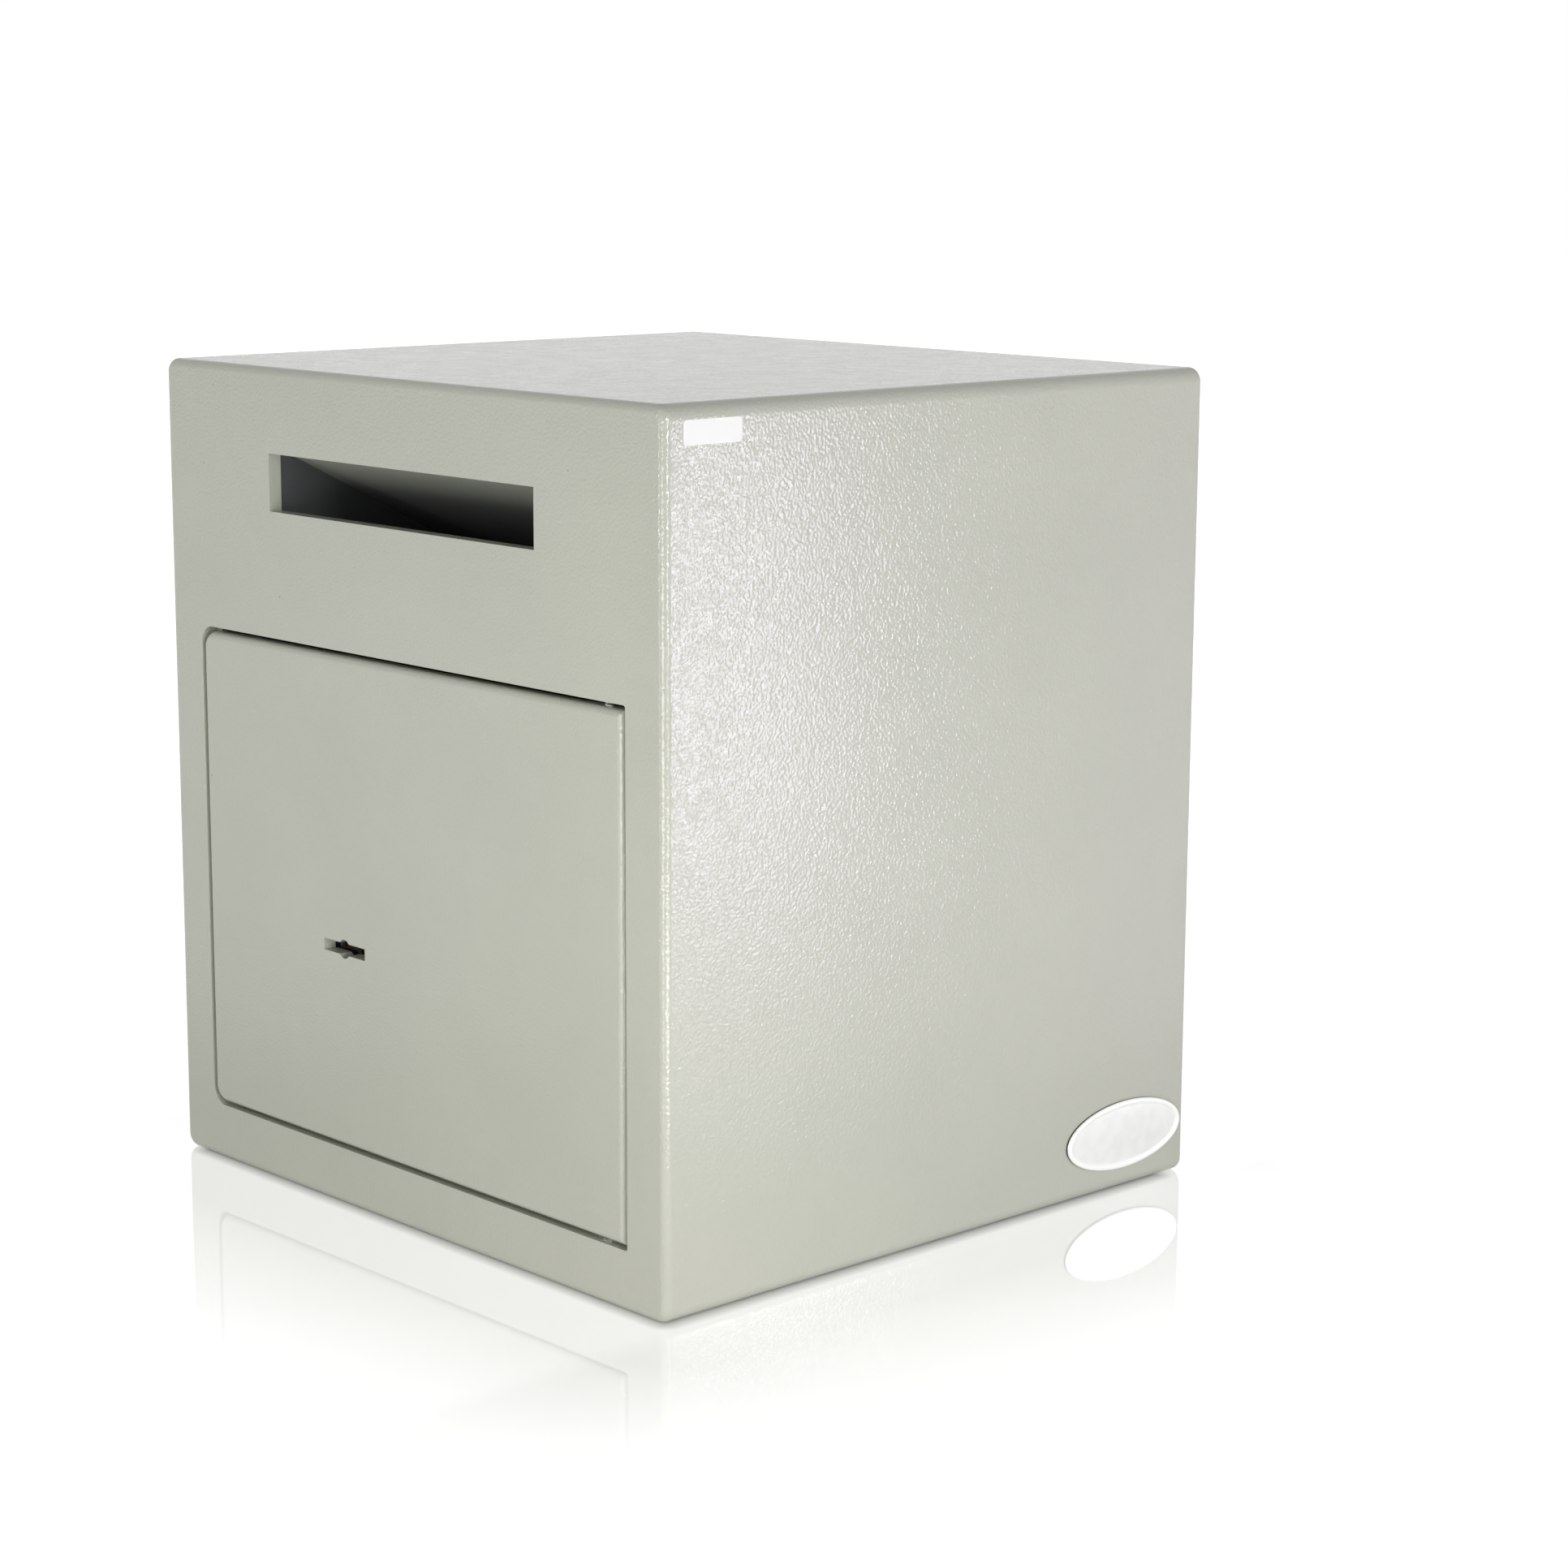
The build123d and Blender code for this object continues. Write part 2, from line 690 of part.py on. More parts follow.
# Lock bolt: head that leaves the case, plate with the talon and the slot for the guide stud
bar_right = door_left + bolt_tip_inset + bolt_length + bar_thickness
head_right = lock_west + lock_sheet + bolt_head_inside
head_middle = key_height + (bolt_head_bottom + bolt_head_top) / 2
head_centre = ((head_front_y + plate_rear_y) / 2, head_middle)
with BuildPart() as lock_bolt:
    with BuildSketch(Plane.XZ.offset(-plate_front_y)):
        with Locations((bar_right, key_height + bolt_plate_bottom)):
            Rectangle(
                key_x + bolt_plate_right - bar_right,
                bolt_plate_top - bolt_plate_bottom,
                align=(Align.MIN, Align.MIN),
            )
        with Locations((key_x + talon_left, key_height + bolt_plate_bottom)):
            Rectangle(
                talon_width,
                talon_top - bolt_plate_bottom,
                align=(Align.MIN, Align.MIN),
                mode=Mode.SUBTRACT,
            )
        with Locations((stud_place[0] + bolt_throw / 2, stud_place[1])):
            SlotCenterToCenter(bolt_throw, guide_stud + 2 * slide_clearance, mode=Mode.SUBTRACT)
    extrude(amount=-bolt_plate_thickness)
    with BuildSketch(Plane.XZ.offset(-head_front_y)):
        with Locations((bar_right, key_height + bolt_head_bottom)):
            Rectangle(
                head_right - bar_right,
                bolt_head_top - bolt_head_bottom,
                align=(Align.MIN, Align.MIN),
            )
    extrude(amount=-bolt_head_depth)
    with BuildSketch(Plane.YZ.offset(bar_right)):
        with Locations(head_centre):
            Circle(link_screw_diameter / 2 + press_clearance)
    extrude(amount=head_right - bar_right, mode=Mode.SUBTRACT)
write_piece(lock_bolt, "lock_bolt")

# Stump that passes through the gates of the levers
stump_length = plate_front_y - (front_y + cavity_depth) - stump_tip_gap
with BuildPart() as bolt_stump:
    with BuildSketch(Plane.XZ.offset(-plate_front_y)):
        with Locations((key_x - stump_left, key_height + stump_up)):
            Rectangle(stump_size, stump_size)
    extrude(amount=stump_length)
    chamfer(bolt_stump.edges().filter_by(Axis.Y), stump_size / 10)
write_piece(bolt_stump, "bolt_stump")

# Bolt bar that joins the lock bolt to the two locking bolts
bar_left = bar_right - bar_thickness
with BuildPart() as bolt_bar:
    with BuildSketch(Plane.YZ.offset(bar_left)):
        with Locations((bolt_y, door_centre[1])):
            Rectangle(bar_width, bolt_spacing + 2 * bar_end)
        with Locations(*[(bolt_y, height) for height in bolt_heights]):
            Circle(bar_screw / 2 + press_clearance, mode=Mode.SUBTRACT)
        with Locations(head_centre):
            Circle(link_screw_diameter / 2 + press_clearance, mode=Mode.SUBTRACT)
    extrude(amount=bar_thickness)
    fillet(bolt_bar.edges().filter_by(Axis.X).group_by(Axis.Z)[0], bar_width / 5)
    fillet(bolt_bar.edges().filter_by(Axis.X).group_by(Axis.Z)[-1], bar_width / 5)
write_piece(bolt_bar, "bolt_bar")


def locking_bolt(height):
    """Round bolt with a chamfered tip and a tapped inner end."""
    with BuildPart() as bolt:
        with BuildSketch(Plane.YZ.offset(bar_left)):
            with Locations((bolt_y, height)):
                Circle(bolt_diameter / 2)
        extrude(amount=-bolt_length)
        chamfer(bolt.edges().sort_by(Axis.X)[0], bolt_tip_chamfer)
        with BuildSketch(Plane.YZ.offset(bar_left)):
            with Locations((bolt_y, height)):
                Circle(bar_screw / 2 + press_clearance)
        extrude(amount=-bar_screw_bite, mode=Mode.SUBTRACT)
    return bolt


lower_locking_bolt = locking_bolt(bolt_heights[0])
write_piece(lower_locking_bolt, "lower_locking_bolt")
upper_locking_bolt = locking_bolt(bolt_heights[1])
write_piece(upper_locking_bolt, "upper_locking_bolt")

# Screws of the bolt bar, with hexagon sockets
bar_screw_places = [(bolt_y, height) for height in bolt_heights]
with BuildPart() as bolt_bar_screws:
    with BuildSketch(Plane.YZ.offset(bar_right)):
        with Locations(*bar_screw_places):
            Circle(bar_screw / 2)
    extrude(amount=-(bar_thickness + bar_screw_bite - screw_tip_gap))
    with BuildSketch(Plane.YZ.offset(bar_right)):
        with Locations(*bar_screw_places):
            Circle(bar_screw_head / 2)
    extrude(amount=bar_screw_head_height)
    with BuildSketch(Plane.YZ.offset(bar_right + bar_screw_head_height)):
        with Locations(*bar_screw_places):
            RegularPolygon(bar_screw_head * 0.28, 6)
    extrude(amount=-bar_screw_head_height / 2, mode=Mode.SUBTRACT)
write_piece(bolt_bar_screws, "bolt_bar_screws")

with BuildPart() as link_screw:
    with BuildSketch(Plane.YZ.offset(bar_left)):
        with Locations(head_centre):
            Circle(link_screw_diameter / 2)
    extrude(amount=head_right - bar_left - screw_tip_gap)
    with BuildSketch(Plane.YZ.offset(bar_left)):
        with Locations(head_centre):
            Circle(link_screw_head / 2)
    extrude(amount=-link_screw_head_height)
    with BuildSketch(Plane.YZ.offset(bar_left - link_screw_head_height)):
        with Locations(head_centre):
            RegularPolygon(link_screw_head * 0.28, 6)
    extrude(amount=link_screw_head_height / 2, mode=Mode.SUBTRACT)
write_piece(link_screw, "link_screw")

# Bolt guides welded behind the door
guide_left = door_left + guide_from_edge


def bolt_guide(height):
    """Angle bracket whose upright leg guides one locking bolt."""
    with BuildPart() as guide:
        with BuildSketch(Plane.XY.offset(height - guide_width / 2)):
            with Locations((guide_left, door_back_y)):
                Rectangle(guide_thickness, guide_height, align=(Align.MIN, Align.MIN))
                Rectangle(
                    guide_thickness + guide_foot_length, guide_foot, align=(Align.MIN, Align.MIN)
                )
        extrude(amount=guide_width)
        rear = guide.edges().filter_by(Axis.X).group_by(Axis.Y)[-1]
        fillet(rear, guide_width / 5)
        with BuildSketch(Plane.YZ.offset(guide_left)):
            with Locations((bolt_y, height)):
                Circle(bolt_diameter / 2 + slide_clearance)
        extrude(amount=guide_thickness, mode=Mode.SUBTRACT)
    return guide


lower_bolt_guide = bolt_guide(bolt_heights[0])
write_piece(lower_bolt_guide, "lower_bolt_guide")
upper_bolt_guide = bolt_guide(bolt_heights[1])
write_piece(upper_bolt_guide, "upper_bolt_guide")

# Inner cover of the door: a folded tray on four posts
cover_left = door_left + cover_lock_margin
cover_right = door_right - cover_hinge_margin
cover_bottom = door_bottom + cover_bottom_margin
cover_top = door_top - cover_top_margin
cover_size = (cover_right - cover_left, cover_top - cover_bottom)
cover_centre = ((cover_left + cover_right) / 2, (cover_bottom + cover_top) / 2)
post_pitch = (cover_size[0] - 2 * post_inset, cover_size[1] - 2 * post_inset)
cover_rear = door_thickness + cover_depth
with BuildPart() as door_inner_cover:
    with BuildSketch(front_at(door_thickness)):
        with Locations(cover_centre):
            RectangleRounded(cover_size[0], cover_size[1], cover_corner_round)
    extrude(amount=-cover_depth)
    chamfer(door_inner_cover.faces().sort_by(Axis.Y)[-1].edges(), cover_sheet)
    inner_round = max(cover_corner_round - cover_sheet, least_round)
    with BuildSketch(front_at(door_thickness)):
        with Locations(cover_centre):
            RectangleRounded(
                cover_size[0] - 2 * cover_sheet, cover_size[1] - 2 * cover_sheet, inner_round
            )
    extrude(amount=-(cover_depth - cover_sheet), mode=Mode.SUBTRACT)
    with BuildSketch(front_at(cover_rear)):
        with Locations(cover_centre):
            with GridLocations(post_pitch[0], post_pitch[1], 2, 2):
                Circle(cover_screw / 2 + slide_clearance)
    extrude(amount=cover_sheet, mode=Mode.SUBTRACT)
    with BuildSketch(Plane.YZ.offset(cover_left)):
        with Locations(*bar_screw_places):
            Circle(cover_bolt_hole / 2)
    extrude(amount=cover_sheet, mode=Mode.SUBTRACT)
write_piece(door_inner_cover, "door_inner_cover")

with BuildPart() as cover_posts:
    with BuildSketch(front_at(door_thickness)):
        with Locations(cover_centre):
            with GridLocations(post_pitch[0], post_pitch[1], 2, 2):
                Circle(post_diameter / 2)
    extrude(amount=-(cover_depth - cover_sheet))
    with BuildSketch(front_at(cover_rear - cover_sheet)):
        with Locations(cover_centre):
            with GridLocations(post_pitch[0], post_pitch[1], 2, 2):
                Circle(cover_screw / 2 + press_clearance)
    extrude(amount=cover_screw_bite, mode=Mode.SUBTRACT)
write_piece(cover_posts, "cover_posts")

with BuildPart() as cover_screws:
    with BuildSketch(front_at(cover_rear)):
        with Locations(cover_centre):
            with GridLocations(post_pitch[0], post_pitch[1], 2, 2):
                Circle(cover_screw / 2)
    extrude(amount=cover_sheet + cover_screw_bite - screw_tip_gap)
    with BuildSketch(front_at(cover_rear)):
        with Locations(cover_centre):
            with GridLocations(post_pitch[0], post_pitch[1], 2, 2):
                Circle(cover_screw_head / 2)
    extrude(amount=-cover_screw_head_height)
    with BuildSketch(front_at(cover_rear + cover_screw_head_height)):
        with Locations(cover_centre):
            with GridLocations(post_pitch[0], post_pitch[1], 2, 2):
                RegularPolygon(cover_screw_head * 0.2, 6)
    extrude(amount=cover_screw_head_height * 0.6, mode=Mode.SUBTRACT)
write_piece(cover_screws, "cover_screws")

# Felt mat on the floor
mat_width = 2 * (inner_x - mat_margin)
mat_length = wrap_length - 2 * mat_margin
with BuildPart() as floor_mat:
    with BuildSketch(Plane.XY.offset(wall)):
        with Locations((0, plate_back_y + wrap_length / 2)):
            Rectangle(mat_width, mat_length)
        with GridLocations(anchor_spacing, 0, 2, 1):
            Circle(mat_hole / 2, mode=Mode.SUBTRACT)
    extrude(amount=mat_thickness)
write_piece(floor_mat, "floor_mat")

# Bare oval badge with a raised rim, low on the right side near the back
badge_place = (body_depth / 2 - badge_from_back, badge_up)
with BuildPart() as badge_plate:
    with BuildSketch(Plane.YZ.offset(body_width / 2)):
        with Locations(badge_place):
            Ellipse(badge_length / 2, badge_height / 2)
    extrude(amount=badge_thickness)
    with BuildSketch(Plane.YZ.offset(body_width / 2 + badge_thickness)):
        with Locations(badge_place):
            Ellipse(badge_length / 2, badge_height / 2)
            Ellipse(
                badge_length / 2 - badge_rim, badge_height / 2 - badge_rim, mode=Mode.SUBTRACT
            )
    extrude(amount=badge_rim_height)
    chamfer(badge_plate.edges().group_by(Axis.X)[-1], badge_rim_height / 2)
write_piece(badge_plate, "badge_plate")

# Bare label near the top front of the right side
label_place = (front_y + label_from_front, body_height - label_below_top)
with BuildPart() as serial_label:
    with BuildSketch(Plane.YZ.offset(body_width / 2)):
        with Locations((label_place[0] + label_length / 2, label_place[1] - label_height / 2)):
            RectangleRounded(label_length, label_height, label_round)
    extrude(amount=label_thickness)
write_piece(serial_label, "serial_label")
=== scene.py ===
import logging
import math
from dataclasses import dataclass, replace
from enum import Enum
from typing import Iterable, Sequence

import bmesh
import bpy
from mathutils import Matrix, Vector, noise


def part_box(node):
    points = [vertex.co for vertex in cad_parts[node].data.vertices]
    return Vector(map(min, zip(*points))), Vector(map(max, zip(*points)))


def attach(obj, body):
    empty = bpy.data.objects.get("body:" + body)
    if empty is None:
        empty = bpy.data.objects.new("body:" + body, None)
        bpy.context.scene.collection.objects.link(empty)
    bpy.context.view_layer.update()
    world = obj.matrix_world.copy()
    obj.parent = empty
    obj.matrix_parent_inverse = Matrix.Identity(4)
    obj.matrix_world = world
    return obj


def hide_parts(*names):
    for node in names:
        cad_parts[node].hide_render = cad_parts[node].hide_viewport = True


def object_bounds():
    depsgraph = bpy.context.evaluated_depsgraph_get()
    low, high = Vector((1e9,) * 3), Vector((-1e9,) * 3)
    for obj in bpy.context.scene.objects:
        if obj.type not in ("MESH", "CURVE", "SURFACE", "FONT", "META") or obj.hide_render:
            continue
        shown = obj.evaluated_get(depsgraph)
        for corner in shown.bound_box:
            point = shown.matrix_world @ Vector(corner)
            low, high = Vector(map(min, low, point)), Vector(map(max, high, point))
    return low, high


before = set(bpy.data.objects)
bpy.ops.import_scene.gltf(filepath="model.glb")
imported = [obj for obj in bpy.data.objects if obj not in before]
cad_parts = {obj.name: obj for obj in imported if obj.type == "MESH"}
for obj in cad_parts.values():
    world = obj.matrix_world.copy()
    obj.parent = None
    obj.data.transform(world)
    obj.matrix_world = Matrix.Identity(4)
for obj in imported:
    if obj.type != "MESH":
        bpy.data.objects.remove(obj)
cad_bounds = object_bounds()

log = logging.getLogger("deposit_safe")
logging.basicConfig(level=logging.INFO, format="%(name)s: %(message)s")

MM = 0.001
SAFE_BODY, DOOR, BOLTWORK, LEVERS = "safe_body", "door", "boltwork", "levers"

MERGE_WITHIN = 0.0005 * MM
TOUCH_WITHIN = 0.01 * MM
FLAT_BELOW = math.radians(0.4)
ROUNDED_ABOVE = math.radians(50.0)

Colour = tuple[float, float, float]
Point = tuple[float, float, float]
Pair = tuple[float, float]
Line = tuple[Vector, Vector]
Socket = bpy.types.NodeSocket
Piece = bpy.types.Object
Shape = bmesh.types.BMesh


class Direction(Enum):
    """Way that a turned piece or a screw points, as a unit vector."""

    RIGHT = (1, 0, 0)
    LEFT = (-1, 0, 0)
    INWARD = (0, 1, 0)
    UP = (0, 0, 1)


class Ring(Enum):
    """Outline of one ring of a turned piece."""

    ROUND = "round"
    HEXAGON = "hexagon"


class Graph:
    """Small helper that adds nodes to a tree and links them.

    Args:
        tree: The shader or geometry tree to fill.
    """

    def __init__(self, tree: bpy.types.NodeTree) -> None:
        """Keep the tree."""
        self.tree = tree

    def node(self, kind: str, values: dict | None = None, **settings: object) -> bpy.types.Node:
        """Add one node.

        Args:
            kind: The node's type name.
            values: Input sockets to set or to link, by name or index.
            **settings: Properties of the node itself.

        Returns:
            The new node.
        """
        made = self.tree.nodes.new(kind)
        for name, value in settings.items():
            setattr(made, name, value)
        for key, value in (values or {}).items():
            self.fill(made.inputs[key], value)
        return made

    def out(self, kind: str, values: dict | None = None, **settings: object) -> Socket:
        """Add one node and give its first output."""
        return self.node(kind, values, **settings).outputs[0]

    def fill(self, socket: Socket, value: object) -> None:
        """Link an input to an output, or set its value.

        Args:
            socket: The input.
            value: The output or the value.
        """
        if isinstance(value, Socket):
            self.tree.links.new(value, socket)
        else:
            socket.default_value = value

    def maths(self, operation: str, first: object, second: object = 0.0) -> Socket:
        """Result of a Math node."""
        return self.out("ShaderNodeMath", {0: first, 1: second}, operation=operation)

    def remap(self, value: Socket, low: float, high: float,
              new_low: float = 0.0, new_high: float = 1.0) -> Socket:
        """Stretch a value from one range to another, clamped."""
        ends = {"From Min": low, "From Max": high, "To Min": new_low, "To Max": new_high}
        return self.out("ShaderNodeMapRange", {"Value": value, **ends})

    def mix(self, factor: Socket, first: Socket | Colour, second: Colour) -> Socket:
        """Blend two colours by a factor."""
        colours = {6: first if isinstance(first, Socket) else (*first, 1.0), 7: (*second, 1.0)}
        return self.node("ShaderNodeMix", {0: factor, **colours}, data_type="RGBA").outputs[2]

    def coordinates(self, kind: str) -> Socket:
        """Coordinates of one kind."""
        return self.node("ShaderNodeTexCoord").outputs[kind]

    def axes(self, place: Socket) -> Sequence[Socket]:
        """The X, Y and Z of coordinates."""
        return self.node("ShaderNodeSeparateXYZ", {"Vector": place}).outputs

    def rays(self) -> tuple[Socket, Socket, Socket]:
        """Tell the rays apart.

        Returns:
            1 for the camera's rays, 1 for glossy ones, and 1 for both and for transmitted ones.
        """
        path = self.node("ShaderNodeLightPath").outputs
        camera, glossy = path["Is Camera Ray"], path["Is Glossy Ray"]
        either = self.maths("MAXIMUM", camera, glossy)
        return camera, glossy, self.maths("MAXIMUM", either, path["Is Transmission Ray"])


class Skin(Graph):
    """Graph of a material's shader, in the piece's own coordinates.

    Args:
        material: The material to fill.
    """

    def __init__(self, material: bpy.types.Material) -> None:
        """Find the shader and take the coordinates."""
        super().__init__(material.node_tree)
        self.shader = self.tree.nodes["Principled BSDF"]
        self.place = self.coordinates("Object")

    def put(self, values: dict[str, object]) -> None:
        """Fill inputs of the shader by name."""
        for name, value in values.items():
            self.fill(self.shader.inputs[name], value)

    def noise(self, size: float, detail: float = 2.0, roughness: float = 0.5,
              distortion: float = 0.0, squeeze: float = 1.0) -> Socket:
        """Add a noise texture.

        Args:
            size: Length of one feature in metres.
            detail: Octaves.
            roughness: How strong the finer octaves are.
            distortion: How far the pattern is warped.
            squeeze: Factor on the coordinates along X, below 1 to draw the pattern out.

        Returns:
            The noise value.
        """
        place = self.place
        if squeeze != 1.0:
            place = self.out("ShaderNodeMapping", {"Vector": place, "Scale": (squeeze, 1.0, 1.0)})
        return self.out("ShaderNodeTexNoise", {
            "Vector": place, "Scale": 1 / size, "Detail": detail, "Roughness": roughness,
            "Distortion": distortion})

    def clouds(self, size: float, detail: float, roughness: float, low: float,
               high: float) -> Socket:
        """Noise whose values from low to high are stretched over the whole range."""
        return self.remap(self.noise(size, detail, roughness), low, high)

    def relief(self, height: Socket, depth: float) -> None:
        """Raise the surface by a pattern from 0 to 1, as high as depth."""
        self.put({"Normal": self.out("ShaderNodeBump", {
            "Height": height, "Distance": depth, "Strength": 1.0})})


def shaded(colour: Colour, factor: float) -> Colour:
    """A colour made lighter or darker by a factor."""
    return tuple(min(channel * factor, 1.0) for channel in colour)


@dataclass(frozen=True)
class Finish:
    """Surface finish of one kind of piece, with soft clouds between two shades of its colour.

    Attributes:
        name: Name of the material.
        slot: Material slot of the record; not used here.
        colour: Base colour, linear.
        roughness: How dull the surface is.
        metallic: One for bare metal.
        cloud: Length of a cloud in metres.
        octaves: Octaves of the clouds, and how strong the finer ones are.
        span: Noise values at which a cloud starts and is full.
        shades: Factors on the colour outside and inside a cloud.
        tones: Colours outside and inside a cloud, where they aren't shades of the colour.
        dulls: What outside and inside a cloud adds to the roughness.
        ground: Length of the relief's pattern in metres.
        fineness: Octaves of that pattern.
        squeeze: Factor on the coordinates along X, which draws the pattern out in rolling lines.
        depth: Height of the relief in metres.
    """

    name: str
    slot: str
    colour: Colour
    roughness: float
    metallic: float = 0.0
    cloud: float = 5 * MM
    octaves: Pair = (2.0, 0.5)
    span: Pair = (0.3, 0.7)
    shades: Pair = (1.0, 1.0)
    tones: tuple[Colour, ...] = ()
    dulls: Pair = (0.0, 0.0)
    ground: float = MM
    fineness: float = 2.0
    squeeze: float = 1.0
    depth: float = 0.01 * MM

    def material(self) -> bpy.types.Material:
        """Build the material once and give it again when asked.

        Returns:
            The material.
        """
        made = bpy.data.materials.get(self.name)
        if made is None:
            made = bpy.data.materials.new(self.name)
            made.use_nodes = True
            made.diffuse_color = (*self.colour, 1.0)
            skin = Skin(made)
            skin.put({"Roughness": self.roughness, "Metallic": self.metallic})
            self.surface(skin)
        return made

    def surface(self, skin: Skin) -> None:
        """Add colour, roughness and relief.

        Args:
            skin: Graph of the material.
        """
        clouds = skin.clouds(self.cloud, *self.octaves, *self.span)
        skin.put({"Base Color": self.tone(skin, self.blend(skin, clouds))})
        if any(self.dulls):
            ends = [self.roughness + dull for dull in self.dulls]
            skin.put({"Roughness": skin.remap(clouds, 0.0, 1.0, *ends)})
        skin.relief(self.pattern(skin), self.depth)

    def blend(self, skin: Skin, factor: Socket) -> Socket:
        """Blend the two tones or shades of the colour."""
        return skin.mix(factor, *(self.tones or (shaded(self.colour, s) for s in self.shades)))

    def tone(self, skin: Skin, base: Socket) -> Socket:
        """What lies over the blended colour; nothing here."""
        return base

    def pattern(self, skin: Skin) -> Socket:
        """Pattern of the relief."""
        return skin.noise(self.ground, self.fineness, squeeze=self.squeeze)


@dataclass(frozen=True)
class GrainedPaint(Finish):
    """Sprayed enamel with a wormy grain, faint mottling and a few nibs of dust.

    Attributes:
        swell: Length of the gloss's slow drift, in grains.
        nib_cell: Size of the cells that may hold a nib of dust.
        nib_radius: Radius of a nib, as a share of its cell.
        nib_rise: Height of a nib, as a share of the relief.
        nib_from: Random value of a cell from which it holds a nib.
        dark_from: Random value from which the nib is dark.
        dark: Factor on the colour of a dark nib.
    """

    cloud: float = 60 * MM
    octaves: Pair = (3.0, 0.5)
    shades: Pair = (0.975, 1.02)
    dulls: Pair = (-0.02, 0.03)
    ground: float = 1.2 * MM
    fineness: float = 0.5
    depth: float = 0.185 * MM
    swell: float = 9.0
    nib_cell: float = 9 * MM
    nib_radius: float = 0.035
    nib_rise: float = 0.5
    nib_from: float = 0.93
    dark_from: float = 0.975
    dark: float = 0.35

    def surface(self, skin: Skin) -> None:
        """Grain, mottling and dust.

        Args:
            skin: Graph of the material.
        """
        cells = skin.node("ShaderNodeTexVoronoi", {
            "Vector": skin.place, "Scale": 1 / self.nib_cell}).outputs
        chosen = skin.out("ShaderNodeSeparateColor", {"Color": cells["Color"]})
        near = skin.maths("LESS_THAN", cells["Distance"], self.nib_radius)
        dust = skin.maths("MULTIPLY", near, skin.maths("GREATER_THAN", chosen, self.nib_from))
        nibs = skin.maths("MULTIPLY", dust, self.nib_rise)
        skin.relief(skin.maths("ADD", self.pattern(skin), nibs), self.depth)
        base = self.blend(skin, skin.clouds(self.cloud, *self.octaves, *self.span))
        dark = skin.maths("MULTIPLY", dust, skin.maths("GREATER_THAN", chosen, self.dark_from))
        base = skin.mix(dark, base, shaded(self.colour, self.dark))
        swell = skin.noise(self.ground * self.swell, 1.0)
        ends = [self.roughness + dull for dull in self.dulls]
        skin.put({"Base Color": self.tone(skin, base), "IOR": 1.5,
                  "Roughness": skin.remap(swell, *self.span, *ends)})


@dataclass(frozen=True)
class PrimerWithPaintedLight(GrainedPaint):
    """Dark primer in the chute, with painted light on the hood behind the slot and painted shade on
    the cheeks.

    Attributes:
        painted_light: Colour of the painted light on the hood behind the slot.
        painted_cheek_shade: Painted shade: colour on the cheeks, darker than the primer.
        half_width: Distance from the middle to a cheek.
        light_full_until: Y up to which the painted light is full.
        reach: Depth in which the painted light fades out behind that.
    """

    ground: float = 1.5 * MM
    depth: float = 0.06 * MM
    painted_light: Colour = (0.36, 0.375, 0.31)
    painted_cheek_shade: Colour = (0.078, 0.082, 0.086)
    half_width: float = 87.5 * MM
    light_full_until: float = -134 * MM
    reach: float = 27 * MM

    def tone(self, skin: Skin, base: Socket) -> Socket:
        """Paint shade on the cheeks and paint light on the hood between them.

        Args:
            skin: Graph of the material.
            base: Colour of the primer.

        Returns:
            The colour with both.
        """
        axes = skin.axes(skin.place)
        between = skin.maths("LESS_THAN", skin.maths("ABSOLUTE", axes["X"]), self.half_width)
        # Painted light near the slot that fades deeper in, and painted shade on the cheeks outside
        # the middle.
        painted_light = skin.remap(axes["Y"], self.light_full_until, self.light_full_until + self.reach, 1.0, 0.0)
        base = skin.mix(skin.maths("SUBTRACT", 1.0, between), base, self.painted_cheek_shade)
        return skin.mix(skin.maths("MULTIPLY", between, painted_light), base, self.painted_light)


@dataclass(frozen=True)
class TurnedSteel(Finish):
    """Bright turned bar with fine tool rings and faint oil stains.

    Attributes:
        along: Axis that the rings follow one another on.
        wander: How far the rings wander, in radians.
    """

    cloud: float = 11 * MM
    octaves: Pair = (4.0, 0.6)
    span: Pair = (0.4, 0.68)
    shades: Pair = (1.04, 0.82)
    ground: float = 0.28 * MM
    depth: float = 0.003 * MM
    along: str = "X"
    wander: float = 5.0

    def pattern(self, skin: Skin) -> Socket:
        """Tool rings.

        Args:
            skin: Graph of the material.

        Returns:
            The pattern.
        """
        along = skin.axes(skin.place)[self.along]
        phase = skin.maths("MULTIPLY", along, 2 * math.pi / self.ground)
        wander = skin.maths("MULTIPLY", skin.noise(4 * MM, 1.0), self.wander)
        return skin.maths("SINE", skin.maths("ADD", phase, wander))


@dataclass(frozen=True)
class NeedledFelt(Finish):
    """Needled felt of mixed grey fibres.

    Attributes:
        tufts: Share of the tufts in the pattern.
        sheen: Strength of its soft sheen.
    """

    cloud: float = 3.2 * MM
    span: Pair = (0.38, 0.62)
    shades: Pair = (0.55, 1.7)
    ground: float = 0.45 * MM
    depth: float = 0.5 * MM
    tufts: float = 0.55
    sheen: float = 0.35

    def surface(self, skin: Skin) -> None:
        """Tufts and fibres in colour and relief, with a soft sheen.

        Args:
            skin: Graph of the material.
        """
        tufts = skin.maths("MULTIPLY", skin.noise(self.cloud, 5.0, 0.7, 0.6), self.tufts)
        fibres = skin.maths("MULTIPLY", skin.noise(self.ground, 3.0, 0.7, 1.6), 1 - self.tufts)
        mixed = skin.maths("ADD", tufts, fibres)
        skin.put({"Base Color": self.blend(skin, skin.remap(mixed, *self.span)),
                  "Sheen Weight": self.sheen, "Sheen Roughness": 0.5})
        skin.relief(mixed, self.depth)


